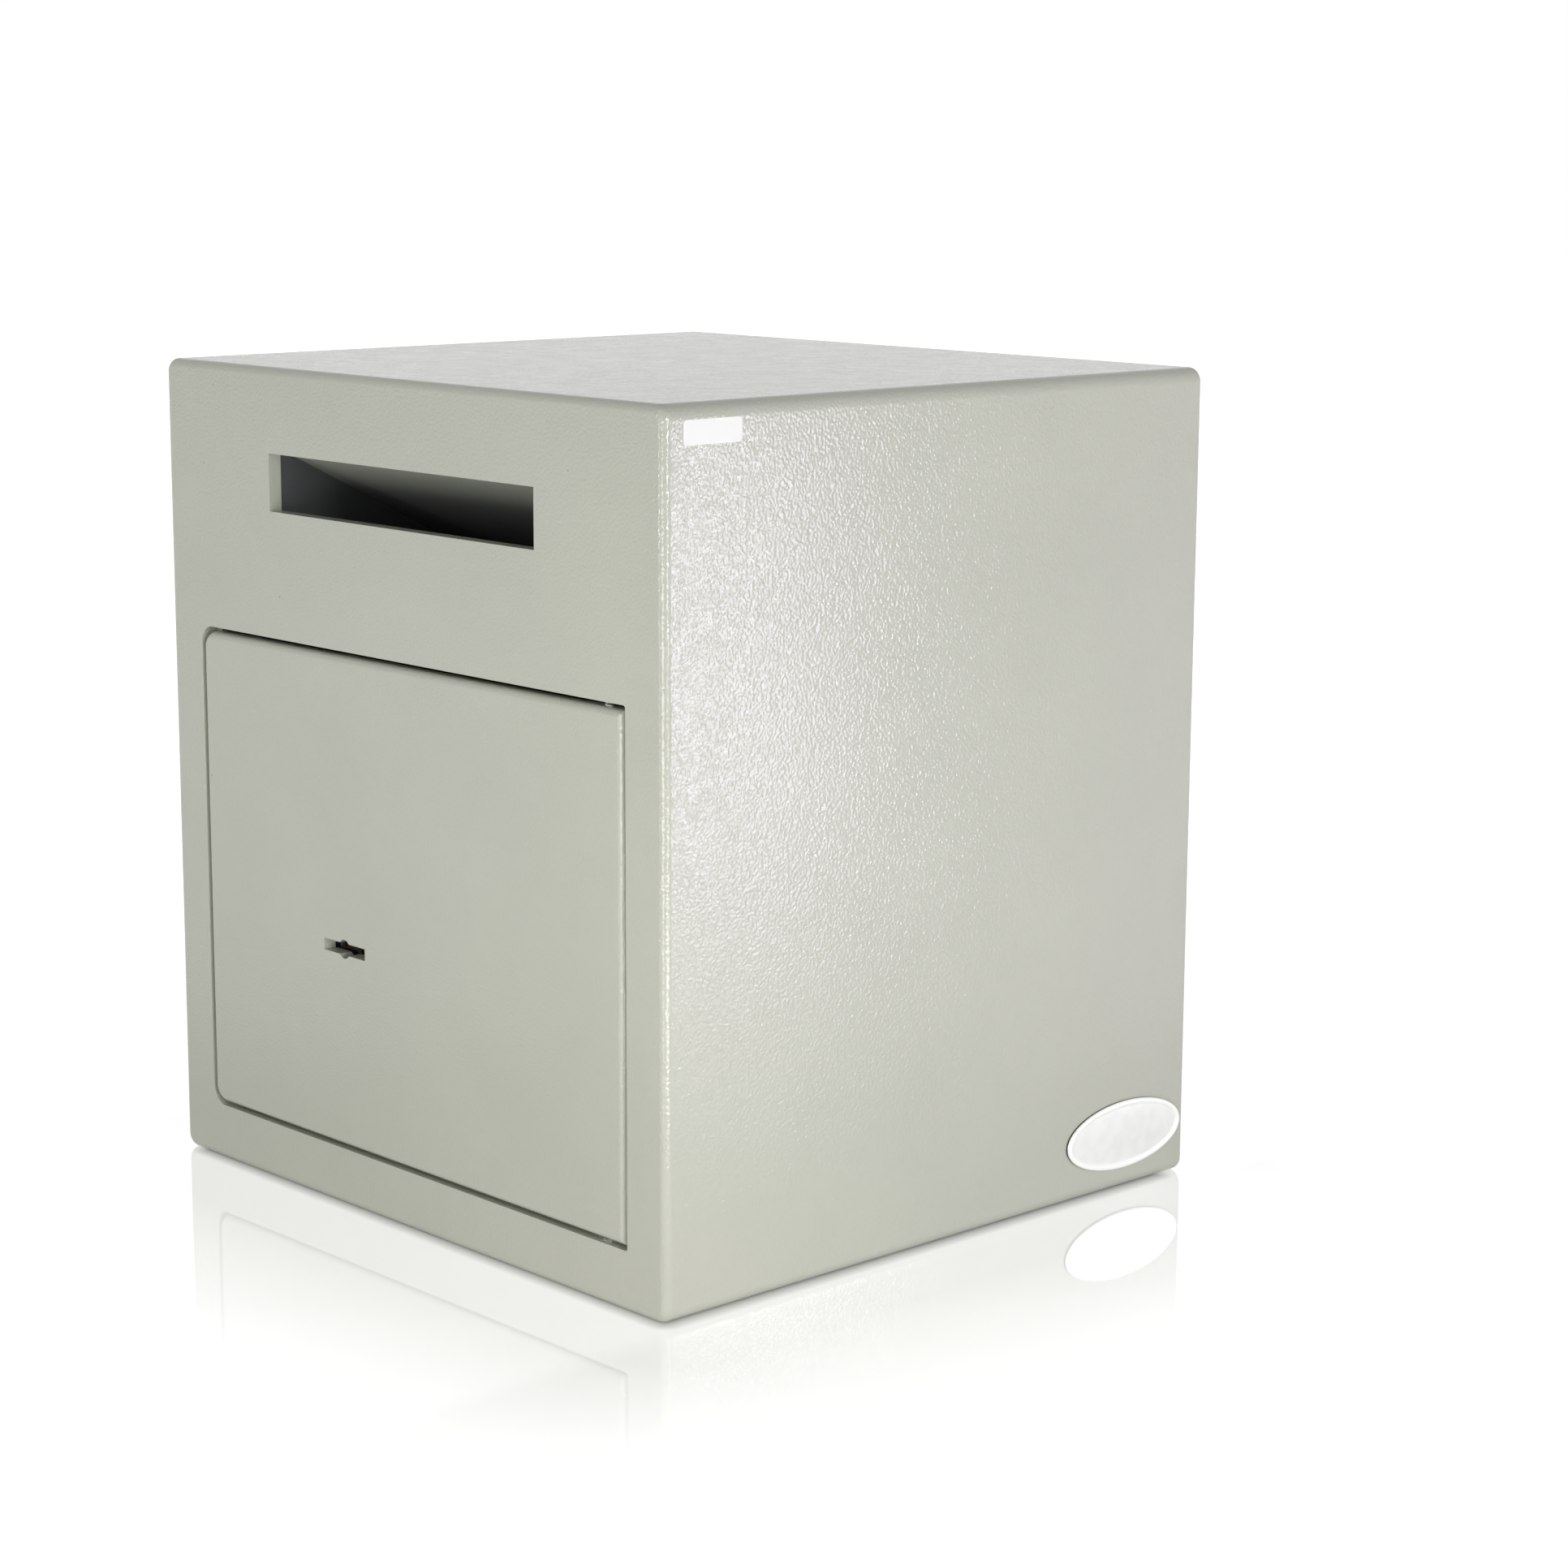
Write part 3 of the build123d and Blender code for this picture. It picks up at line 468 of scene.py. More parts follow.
@dataclass(frozen=True)
class BadgeLacquer(Finish):
    """Silver-white lacquer over a fine cast ground, with a whiter rim and painted shadow low on its
    side.

    Attributes:
        rim: Width of the rim.
        rim_shade: Factor on the rim's colour.
        painted_shadow_share: Share of the badge's thickness, from the back, painted black as the
            shadow under its edge.
        painted_shadow_colour: Colour of that painted shadow.
    """

    cloud: float = 6 * MM
    octaves: Pair = (3.0, 0.5)
    span: Pair = (0.35, 0.65)
    shades: Pair = (0.95, 1.0)
    ground: float = 0.35 * MM
    depth: float = 0.008 * MM
    rim: float = 2.94 * MM
    rim_shade: float = 1.1
    painted_shadow_share: float = 0.4
    painted_shadow_colour: Colour = (0.03, 0.03, 0.03)

    def tone(self, skin: Skin, base: Socket) -> Socket:
        """Whiten the rim, paint the shadow low on the side black and add a thin clear coat.

        Args:
            skin: Graph of the material.
            base: Colour of the face.

        Returns:
            The colour with both.
        """
        low, high, middle = box_of("badge_plate")
        axes = skin.axes(skin.place)
        squares = []
        for axis, centre, end in (("Y", middle.y, high.y), ("Z", middle.z, high.z)):
            share = skin.maths("DIVIDE", skin.maths("SUBTRACT", axes[axis], centre),
                               end - centre - self.rim)
            squares.append(skin.maths("MULTIPLY", share, share))
        on_rim = skin.remap(skin.maths("ADD", *squares), 0.97, 1.05)
        # Painted shadow: the side is black below this height, as the shade under the badge's edge.
        foot = low.x + self.painted_shadow_share * (high.x - low.x)
        below = skin.remap(axes["X"], foot, foot + 0.1 * MM, 1.0, 0.0)
        skin.put({"Coat Weight": 0.35, "Coat Roughness": 0.12})
        whiter = skin.mix(on_rim, base, shaded(self.colour, self.rim_shade))
        return skin.mix(below, whiter, self.painted_shadow_colour)


PAINT = GrainedPaint("body_paint_grained", "body_paint", (0.485, 0.494, 0.418), 0.115)
# Chute primer with painted light behind the slot and painted shade on its cheeks.
PRIMER = PrimerWithPaintedLight("chute_primer", "body_paint", (0.165, 0.175, 0.172), 0.5)
# Zinc-plated sheet with cloudy plating and rolling lines.
ZINC = Finish(
    "zinc_sheet", "zinc_steel", (0.62, 0.64, 0.66), 0.34, 1.0, cloud=7 * MM, octaves=(4.0, 0.6),
    span=(0.35, 0.65), shades=(0.88, 1.08), dulls=(0.06, -0.05), ground=0.35 * MM, squeeze=0.04,
    depth=0.006 * MM)
SCREW_ZINC = replace(
    ZINC, name="screw_zinc", slot="screw_steel", colour=(0.66, 0.67, 0.69), roughness=0.28,
    cloud=2.5 * MM)
BRIGHT_BOLT = TurnedSteel("turned_steel_bolt", "bright_steel", (0.68, 0.68, 0.67), 0.22, 1.0)
BRIGHT_PIN, BRIGHT_POST = (
    TurnedSteel(f"turned_steel_{kind}", "bright_steel", (0.64, 0.64, 0.64), 0.26, 1.0, along=along)
    for kind, along in (("pin", "Z"), ("post", "Y")))
# Hardened plate with the brown and blue clouds of quenching and a fine scale.
QUENCHED = Finish(
    "quenched_plate", "hard_steel", (0.11, 0.115, 0.13), 0.42, 1.0, cloud=14 * MM,
    octaves=(5.0, 0.62), span=(0.38, 0.64), tones=((0.09, 0.085, 0.085), (0.13, 0.145, 0.17)),
    ground=0.6 * MM, fineness=3.0, depth=0.02 * MM)
# Punched brass strip with tarnish from handling and rolling lines.
BRASS = Finish(
    "punched_brass", "lever_brass", (0.74, 0.53, 0.24), 0.28, 1.0, cloud=9 * MM,
    octaves=(5.0, 0.6), span=(0.42, 0.7), shades=(1.0, 0.62), dulls=(0.0, 0.22),
    ground=0.3 * MM, squeeze=0.05, depth=0.005 * MM)
FELT = NeedledFelt("needled_felt", "mat_felt", (0.045, 0.047, 0.051), 0.95)
FIBRE = NeedledFelt("loose_fibre", "mat_felt", (0.09, 0.092, 0.096), 0.9)
# Badge lacquer with painted shadow low on its side.
BADGE = BadgeLacquer("badge_lacquer", "badge_metal", (0.89, 0.91, 0.86), 0.28, 0.25)
# Matt white film that shows a little of the grain under it.
LABEL = Finish(
    "label_film", "label_film", (0.955, 0.96, 0.945), 0.42, shades=(0.975, 1.0),
    ground=1.6 * MM, fineness=1.0, depth=0.012 * MM)


def box_of(node: str) -> tuple[Vector, Vector, Vector]:
    """Lowest corner, highest corner and centre of a node."""
    low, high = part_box(node)
    return low, high, (low + high) / 2


def added(made: Piece) -> Piece:
    """Put an object into the scene and give it back."""
    bpy.context.scene.collection.objects.link(made)
    return made


def mesh_object(name: str, shape: Shape) -> Piece:
    """Turn a finished shape into an object.

    Args:
        name: Name of the piece.
        shape: The shape, freed afterwards.

    Returns:
        The new object, at the origin.
    """
    mesh = bpy.data.meshes.new(name)
    shape.to_mesh(mesh)
    shape.free()
    return added(bpy.data.objects.new(name, mesh))


def shade(piece: Piece, sharp_above: float = 38.0) -> None:
    """Smooth a piece but for its edges over an angle, and let its large faces rule.

    Args:
        piece: The piece.
        sharp_above: Angle in degrees over which an edge stays sharp.
    """
    shape = bmesh.new()
    shape.from_mesh(piece.data)
    for face in shape.faces:
        face.smooth = True
    for edge in shape.edges:
        edge.smooth = edge.calc_face_angle(0.0) < math.radians(sharp_above)
    shape.to_mesh(piece.data)
    shape.free()
    weighted = piece.modifiers.new("weighted", "WEIGHTED_NORMAL")
    weighted.keep_sharp = True
    weighted.weight = 80


def settle(piece: Piece, body: str, finish: Finish, nodes: Sequence[str] = ()) -> None:
    """Give a piece its finish and hang it on its body.

    Args:
        piece: The piece.
        body: Body that it rides on.
        finish: Its finish.
        nodes: Nodes that it stands for.
    """
    piece.data.materials.clear()
    piece.data.materials.append(finish.material())
    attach(piece, body)
    if nodes:
        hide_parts(*nodes)
    log.info("%s: %d faces on %s", piece.name, len(piece.data.polygons), body)


def soften(node: str, name: str, body: str, finish: Finish, width: float,
           joints: Sequence[float] = ()) -> None:
    """Make a piece of a node's shape, with its sharp edges slightly rounded.

    Args:
        node: The node that it stands for.
        name: Name of the new piece.
        body: Body that it rides on.
        finish: Its finish.
        width: Width of the rounding in metres.
        joints: Depths in metres at which outer edges are welded flush and stay whole.
    """
    shape = bmesh.new()
    shape.from_mesh(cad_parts[node].data)
    bmesh.ops.remove_doubles(shape, verts=shape.verts, dist=MERGE_WITHIN)
    bmesh.ops.dissolve_degenerate(shape, edges=shape.edges, dist=MERGE_WITHIN)
    bmesh.ops.dissolve_limit(shape, angle_limit=FLAT_BELOW, verts=shape.verts, edges=shape.edges)
    edges = [edge for edge in shape.edges
             if edge.is_manifold and edge.calc_face_angle(0.0) > ROUNDED_ABOVE
             and not any(abs(corner.co.y - depth) < TOUCH_WITHIN
                         for depth in joints for corner in edge.verts)]
    bmesh.ops.bevel(shape, geom=edges, offset=width, segments=2, profile=0.5,
                    affect="EDGES", clamp_overlap=True)
    bmesh.ops.triangulate(shape, faces=[face for face in shape.faces if len(face.verts) > 4])
    piece = mesh_object(name, shape)
    shade(piece)
    settle(piece, body, finish, [node])


def ring_radius(radius: float, angle: float, kind: Ring) -> float:
    """Distance from the axis to a ring's edge.

    Args:
        radius: The ring's radius, for a hexagon to its flats.
        angle: Angle round the axis.
        kind: Outline of the ring.

    Returns:
        The distance at that angle.
    """
    if kind is Ring.ROUND:
        return radius
    return radius / math.cos(math.fmod(angle + math.pi / 6, math.pi / 3) - math.pi / 6)


def turned(name: str, profile: Sequence[tuple], feet: Iterable[Vector], direction: Direction,
           sides: int = 48, closed: bool = False) -> Piece:
    """Make one piece of equal turned solids.

    Args:
        name: Name of the piece.
        profile: (height, radius) or (height, radius, Ring) from foot to top; radius 0 is a point.
        feet: Point at height 0 on each solid's axis.
        direction: Way that the height grows.
        sides: Points round each axis.
        closed: True where the last ring joins the first, as round a bore.

    Returns:
        The new piece, without finish.
    """
    shape = bmesh.new()
    turn = Vector(Direction.UP.value).rotation_difference(Vector(direction.value))
    for foot in feet:
        rings = []
        for height, radius, *kind in profile:
            ring = []
            for step in range(sides if radius else 1):
                angle = 2 * math.pi * step / sides
                reach = ring_radius(radius, angle, kind[0] if kind else Ring.ROUND)
                point = Vector((reach * math.cos(angle), reach * math.sin(angle), height))
                ring.append(shape.verts.new(foot + turn @ point))
            rings.append(ring)
        pairs = list(zip(rings, rings[1:]))
        if closed:
            pairs.append((rings[-1], rings[0]))
        for lower, upper in pairs:
            for step in range(sides):
                after = (step + 1) % sides
                border = [lower[step], lower[after]] if len(lower) > 1 else [lower[0]]
                border += [upper[after], upper[step]] if len(upper) > 1 else [upper[0]]
                shape.faces.new(border)
    bmesh.ops.recalc_face_normals(shape, faces=shape.faces)
    piece = mesh_object(name, shape)
    shade(piece, 30.0)
    return piece


class Growth(Graph):
    """Geometry tree with named inputs that ends in one plain mesh.

    Args:
        name: Name of the tree.
        inputs: Kind of socket and value of each named input.
    """

    def __init__(self, name: str, inputs: dict[str, tuple[str, object]]) -> None:
        """Make the tree with its inputs and its output."""
        super().__init__(bpy.data.node_groups.new(name, "GeometryNodeTree"))
        face = self.tree.interface
        face.new_socket("Geometry", in_out="INPUT", socket_type="NodeSocketGeometry")
        face.new_socket("Geometry", in_out="OUTPUT", socket_type="NodeSocketGeometry")
        self.values = {}
        for label, (kind, value) in inputs.items():
            socket = face.new_socket(label, in_out="INPUT", socket_type=kind)
            self.values[socket.identifier] = value
        self.source = self.node("NodeGroupInput").outputs

    def close(self, geometry: Socket, finish: Finish) -> None:
        """Make the instances real, give them their material and put them out.

        Args:
            geometry: What the tree has made.
            finish: Its finish.
        """
        real = self.out("GeometryNodeRealizeInstances", {0: geometry})
        dress = {"Geometry": real, "Material": finish.material()}
        self.node("NodeGroupOutput", {0: self.out("GeometryNodeSetMaterial", dress)})

    def grow(self, start: Piece, name: str) -> Piece:
        """Run the tree on a shape and keep the result as a plain mesh.

        Args:
            start: Shape that the tree works on, used up.
            name: Name of the new piece.

        Returns:
            The new piece.
        """
        modifier = start.modifiers.new(name, "NODES")
        modifier.node_group = self.tree
        for identifier, value in self.values.items():
            modifier[identifier] = value
        graph = bpy.context.evaluated_depsgraph_get()
        mesh = bpy.data.meshes.new_from_object(start.evaluated_get(graph), depsgraph=graph)
        mesh.name = name
        bpy.data.objects.remove(start)
        return added(bpy.data.objects.new(name, mesh))


@dataclass(frozen=True)
class Softbox:
    """Rectangular lamp that the camera doesn't see.

    Attributes:
        name: Name of the lamp.
        place: Where it stands.
        aim: Point that it faces.
        size: Width and height in metres.
        power: Watts.
        colour: Colour of its light.
        gloss: How strongly it shows in glossy surfaces.
    """

    name: str
    place: Point
    aim: Point
    size: Pair
    power: float
    colour: Colour = (1.0, 1.0, 1.0)
    gloss: float = 1.0

    def build(self) -> None:
        """Add the lamp."""
        data = bpy.data.lights.new(self.name, "AREA")
        data.shape = "RECTANGLE"
        data.size, data.size_y = self.size
        data.energy = self.power
        data.color = self.colour
        data.specular_factor = self.gloss
        made = added(bpy.data.objects.new(self.name, data))
        made.visible_camera = False
        made.location = self.place
        made.rotation_mode = "QUATERNION"
        made.rotation_quaternion = (Vector(self.place) - Vector(self.aim)).to_track_quat("Z", "Y")


class Studio:
    """Pale floor, soft light and the camera of the photograph.

    Attributes:
        azimuth, elevation, roll, distance, target, lens: The camera solved on the photograph.
        floor_size, floor_depth: Half of the floor's width, and how far it lies under the safe.
        floor_white: Share of the light that the floor scatters.
        contact_reach: How far the painted contact shadow reaches in on the left and at the back.
        front_round, side_round: Roundings at which it starts in front and on the right.
        mirror: Distances over which the floor's mirror image fades, and its strength at both.
        far_mirror: The same for what the safe's gloss sees in the floor.
        contact: Distances over which the floor's lift grows out of the painted contact shadow, and
            its strength at both.
        lifts: The same for its slow growth further out, which paints soft shade on the floor near
            the safe.
            side_reach, painted_side_shade: Distance over which the lift drops on the right,
                painting the floor darker there, and its change.
        world_light: Heights over which the world's light fades, and its strength at both.
        lamps: The lamps.
    """

    azimuth = math.radians(46.9075)
    elevation = math.radians(10.864)
    roll = math.radians(0.256)
    distance = 1.4618
    target = Vector((0.0666, 0.0, 0.1776))
    lens = 80.021
    floor_size = 9.0
    floor_depth = 0.05 * MM
    floor_white = 0.78
    contact_reach = 15 * MM
    front_round = 3.5 * MM
    side_round = 6 * MM
    mirror = (0.05, 0.22, 0.4, 0.0)
    far_mirror = (0.12, 0.4, 0.0, 0.3)
    contact = (0.0, 0.009, 0.0, 0.45)
    lifts = ((0.04, 0.2, 0.0, 0.35), (0.2, 0.44, 0.0, 0.25))
    side_reach = 0.015
    painted_side_shade = -0.055
    world_light = (0.0, 0.9, 0.88, 0.04)
    lamps = (
        Softbox("side_softbox", (0.762, 0.39, 0.15), (0.1625, -0.1, 0.15), (0.09, 0.32), 1.05,
                colour=(0.85, 0.79, 1.0)),
        Softbox("front_softbox", (-1.0, -2.2, 0.4), (0.0, -0.15, 0.4), (0.12, 0.8), 8.3),
        Softbox("edge_fill", (1.62, -0.42, 0.4), (0.15, -0.15, 0.4), (0.14, 0.8), 8.2, gloss=0.0),
        Softbox("low_front_fill", (0.4, -0.9, 0.08), (0.05, -0.15, 0.08), (0.3, 0.3), 2.1,
                gloss=0.0),
        Softbox("low_side_fill", (0.5, -0.3, 0.04), (0.1625, -0.12, 0.06), (0.2, 0.06), 0.4,
                gloss=0.0),
    )

    def build(self) -> None:
        """Make the camera, the floor, the world and the lamps."""
        bpy.context.scene.view_settings.view_transform = "Standard"
        self.camera()
        self.floor()
        self.world()
        for lamp in self.lamps:
            lamp.build()

    def camera(self) -> None:
        """Camera at the photograph's viewing angle."""
        data = bpy.data.cameras.new("camera")
        data.lens = self.lens
        data.sensor_width = 36.0
        data.sensor_fit = "HORIZONTAL"
        data.clip_start = 0.05
        data.clip_end = 50.0
        level = math.cos(self.elevation)
        back = Vector((math.sin(self.azimuth) * level, -math.cos(self.azimuth) * level,
                       math.sin(self.elevation)))
        right = (-back).cross(Vector((0, 0, 1))).normalized()
        up = right.cross(-back)
        tilted_right = right * math.cos(self.roll) + up * math.sin(self.roll)
        tilted_up = up * math.cos(self.roll) - right * math.sin(self.roll)
        made = added(bpy.data.objects.new("camera", data))
        turn = Matrix((tilted_right, tilted_up, back)).transposed().to_4x4()
        made.matrix_world = Matrix.Translation(self.target + back * self.distance) @ turn
        bpy.context.scene.camera = made

    def floor(self) -> None:
        """White floor that keeps the rendered shadow, with painted shadow where its glow is weaker
        at the contact, near the safe and on the right, and a faint reflection that fades with
        distance.
        """
        shape = bmesh.new()
        bmesh.ops.create_grid(shape, x_segments=1, y_segments=1, size=self.floor_size)
        made = mesh_object("floor", shape)
        for corner in made.data.vertices:
            corner.co.z = -self.floor_depth
        material = bpy.data.materials.new("floor_white")
        material.use_nodes = True
        material.node_tree.nodes.clear()
        graph = Graph(material.node_tree)
        place = graph.coordinates("Object")
        low, high = cad_bounds
        away = self.outside(graph, place, low, high)
        from_contact = self.outside(
            graph, place, low + Vector((self.contact_reach, self.front_round, 0)),
            high - Vector((self.side_round, self.contact_reach, 0)))
        camera, glossy, seen = graph.rays()
        near = graph.maths("MULTIPLY", graph.remap(away, *self.mirror), camera)
        far = graph.maths("MULTIPLY", graph.remap(away, *self.far_mirror), glossy)
        white = (self.floor_white, self.floor_white, self.floor_white, 1)
        diffuse = graph.out("ShaderNodeBsdfDiffuse", {"Color": white})
        gloss = graph.out("ShaderNodeBsdfGlossy", {"Color": (1, 1, 1, 1), "Roughness": 0.03})
        surface = graph.out("ShaderNodeMixShader", {
            0: graph.maths("ADD", near, far), 1: diffuse, 2: gloss})
        # Painted shadow: the glow is weakest at the contact, grows outwards and is lower on the
        # right.
        lift = graph.remap(from_contact, *self.contact)
        for growth in self.lifts:
            lift = graph.maths("ADD", lift, graph.remap(away, *growth))
        painted_right_shade = graph.remap(
            graph.axes(place)["X"], high.x, high.x + self.side_reach, 0.0, self.painted_side_shade)
        lift = graph.maths("MULTIPLY", seen, graph.maths("ADD", lift, painted_right_shade))
        light = graph.out("ShaderNodeEmission", {"Color": (1, 1, 1, 1), "Strength": lift})
        total = graph.out("ShaderNodeAddShader", {0: surface, 1: light})
        graph.node("ShaderNodeOutputMaterial", {"Surface": total}, is_active_output=True)
        made.data.materials.append(material)

    def outside(self, graph: Graph, place: Socket, low: Vector, high: Vector) -> Socket:
        """Distance on the floor to a rectangle, 0 inside it.

        Args:
            graph: The floor's graph.
            place: Coordinates.
            low: Lowest corner of the rectangle.
            high: Highest corner.

        Returns:
            The distance.
        """
        middle, half = (low + high) / 2, (high - low) / 2
        for operation, other in (("SUBTRACT", (middle.x, middle.y, 0)), ("ABSOLUTE", (0, 0, 0)),
                                 ("SUBTRACT", (half.x, half.y, 0)), ("MAXIMUM", (0, 0, 0))):
            place = graph.out("ShaderNodeVectorMath", {0: place, 1: other}, operation=operation)
        length = graph.node("ShaderNodeVectorMath", {0: place}, operation="LENGTH")
        return length.outputs["Value"]

    def world(self) -> None:
        """White to the camera, and a soft light that is weaker from above."""
        world = bpy.data.worlds.new("studio")
        bpy.context.scene.world = world
        world.use_nodes = True
        world.node_tree.nodes.clear()
        graph = Graph(world.node_tree)
        light = graph.remap(graph.axes(graph.coordinates("Generated"))["Z"], *self.world_light)
        blend = {0: graph.rays()[2], 2: light, 3: 1.0}
        strength = graph.out("ShaderNodeMix", blend, data_type="FLOAT")
        back = graph.out("ShaderNodeBackground", {"Color": (1, 1, 1, 1), "Strength": strength})
        graph.node("ShaderNodeOutputWorld", {"Surface": back})


@dataclass
class BodyShell:
    """Front plate, folded wrap and back panel of the safe, with door stop and hinge brackets.

    Attributes:
        edge: Width of the worn edges of slot and opening.
        front_joint: Depth of the flush joint between front plate and wrap.
        back_joint: Depth of the flush joint between wrap and back panel.
    """

    edge: float = 0.16 * MM
    front_joint: float = -144 * MM
    back_joint: float = 147 * MM

    def build(self) -> None:
        """Make the shells and the pieces welded inside them."""
        joints = (self.front_joint, self.back_joint)
        for node in ("front_plate", "body_wrap", "back_panel"):
            soften(node, f"{node}_shell", SAFE_BODY, PAINT, self.edge, joints)
        for node in ("lock_side_frame", "upper_hinge_bracket", "lower_hinge_bracket"):
            soften(node, f"{node}_painted", SAFE_BODY, PAINT, self.edge)


@dataclass
class DepositChute:
    """Folded hood and saw-toothed ramp behind the slot.

    Attributes:
        fold: Width of the rounding on the sheet's edges.
        weld: Radius of a spot weld.
        rise: Height of a spot weld's rim.
        pitch: Distance between spot welds.
        flange: Width of the flanges.
    """

    fold: float = 0.3 * MM
    weld: float = 2.6 * MM
    rise: float = 0.12 * MM
    pitch: float = 28 * MM
    flange: float = 12 * MM

    def build(self) -> None:
        """Make the spot welds on the flanges, and hood and ramp."""
        self.spot_welds()
        for node in ("chute_hood", "chute_ramp"):
            soften(node, f"{node}_folded", SAFE_BODY, PRIMER, self.fold)

    def spot_welds(self) -> None:
        """Make the shallow ringed dimples that the welding tongs leave."""
        low, high, _ = box_of("chute_hood")
        back = low.y + 1.5 * MM
        count = int((high.x - low.x - 2 * self.flange) / self.pitch)
        below = box_of("chute_ramp")[1].z - self.flange * 0.62
        rows = ((count, high.z - self.flange / 2), (count - 1, below))
        above, under = ([(self.pitch * (step - (number - 1) / 2), z) for step in range(number)]
                        for number, z in rows)
        beside = [(side * (high.x - self.flange * 0.45), high.z - self.flange - drop)
                  for side in (-1, 1) for drop in (9 * MM, 24 * MM)]
        radius, rise, hollow = self.weld, self.rise, 0.02 * MM
        profile = [(-0.2 * MM, 0), (-0.2 * MM, radius), (rise * 0.5, radius), (rise, radius * 0.9),
                   (rise * 0.5, radius * 0.78), (hollow, radius * 0.6), (hollow, 0)]
        feet = [Vector((x, back, z)) for x, z in above + beside + under]
        settle(turned("chute_spot_welds", profile, feet, Direction.INWARD, 24), SAFE_BODY, PRIMER)


@dataclass
class WeldBeads:
    """Ripples of the fillet welds that hold the welded pieces.

    Attributes:
        radius: Radius of a bead.
        pitch: Distance between its ripples.
        stitch: Length of one stitch.
        seed: Seed of the ripples' unevenness.
        wall: Thickness of the wrap.
        margin: Distance of the stitches from the wrap's corners.
        ease: Distance of a weld from the ends of a block.
    """

    radius: float = 1.7 * MM
    pitch: float = 1.15 * MM
    stitch: float = 22 * MM
    seed: int = 4
    wall: float = 3 * MM
    margin: float = 12 * MM
    ease: float = 0.8 * MM

    def tree(self) -> Growth:
        """Build the tree that lays ripples along lines.

        Returns:
            The tree.
        """
        tree = Growth("weld_ripples", {
            "Radius": ("NodeSocketFloat", self.radius), "Pitch": ("NodeSocketFloat", self.pitch),
            "Seed": ("NodeSocketInt", self.seed)})
        source = tree.source
        line = tree.out("GeometryNodeMeshToCurve", {"Mesh": source["Geometry"]})
        points = tree.out("GeometryNodeResampleCurve", {"Curve": line, "Length": source["Pitch"]},
                          mode="LENGTH")
        ripple = tree.out("GeometryNodeMeshUVSphere", {
            "Segments": 8, "Rings": 5, "Radius": source["Radius"]})
        smooth = tree.out("GeometryNodeSetShadeSmooth", {"Geometry": ripple})
        along = tree.out("GeometryNodeInputTangent")
        turn = tree.out("FunctionNodeAlignRotationToVector", {"Vector": along}, axis="Z")
        size = tree.out("FunctionNodeRandomValue", {
            0: (0.88, 0.88, 0.55), 1: (1.12, 1.12, 0.75), "Seed": source["Seed"]},
            data_type="FLOAT_VECTOR")
        tree.close(tree.out("GeometryNodeInstanceOnPoints", {
            "Points": points, "Instance": smooth, "Rotation": turn, "Scale": size}), PAINT)
        return tree

    def build(self) -> None:
        """Lay the beads of the body and of the door."""
        tree = self.tree()
        for name, body, lines in (("body_welds", SAFE_BODY, self.body_lines()),
                                  ("door_welds", DOOR, self.door_lines())):
            shape = bmesh.new()
            for line in lines:
                shape.edges.new([shape.verts.new(end) for end in line])
            settle(tree.grow(mesh_object(f"{name}_lines", shape), name), body, PAINT)

    def stitches(self, start: Point, end: Point, count: int) -> list[Line]:
        """Share short stitches evenly over a line.

        Args:
            start: One end of the line.
            end: The other end.
            count: Number of stitches.

        Returns:
            Both ends of each stitch.
        """
        start, end = Vector(start), Vector(end)
        half = (end - start).normalized() * self.stitch / 2
        middles = [start.lerp(end, (step + 0.5) / count) for step in range(count)]
        return [(middle - half, middle + half) for middle in middles]

    def body_lines(self) -> list[Line]:
        """Lines of the welds on the body.

        Returns:
            Both ends of each.
        """
        low, high, _ = box_of("body_wrap")
        left, right = low.x + self.wall, high.x - self.wall
        under, over = low.z + self.wall, high.z - self.wall
        lines = []
        for y in (low.y, high.y):
            for x in (left, right):
                lines += self.stitches((x, y, under + self.margin), (x, y, over - self.margin), 4)
            for z in (under, over):
                lines += self.stitches((left + self.margin, y, z), (right - self.margin, y, z), 4)
        foot, head, _ = box_of("lock_side_frame")
        lines += self.stitches((foot.x, low.y, foot.z), (foot.x, low.y, head.z), 5)
        return lines + self.around("hinge_bracket", low.y)

    def door_lines(self) -> list[Line]:
        """Lines of the welds on the door.

        Returns:
            Both ends of each.
        """
        back = box_of("door_panel")[1].y
        lines = self.around("hinge_block", back)
        for node in ("upper_bolt_guide", "lower_bolt_guide"):
            low, high, _ = box_of(node)
            lines += [(Vector((low.x + 2 * MM, back, z)), Vector((high.x - 5 * MM, back, z)))
                      for z in (low.z, high.z)]
        return lines

    def around(self, block: str, depth: float) -> list[Line]:
        """Lines along the upright sides of two blocks, where they meet a plate.

        Args:
            block: Name of both nodes without upper or lower.
            depth: Depth of the plate's side.

        Returns:
            Both ends of each line.
        """
        boxes = [box_of(f"{level}_{block}") for level in ("upper", "lower")]
        return [(Vector((x, depth, low.z + self.ease)), Vector((x, depth, high.z - self.ease)))
                for low, high, _ in boxes for x in (low.x, high.x)]


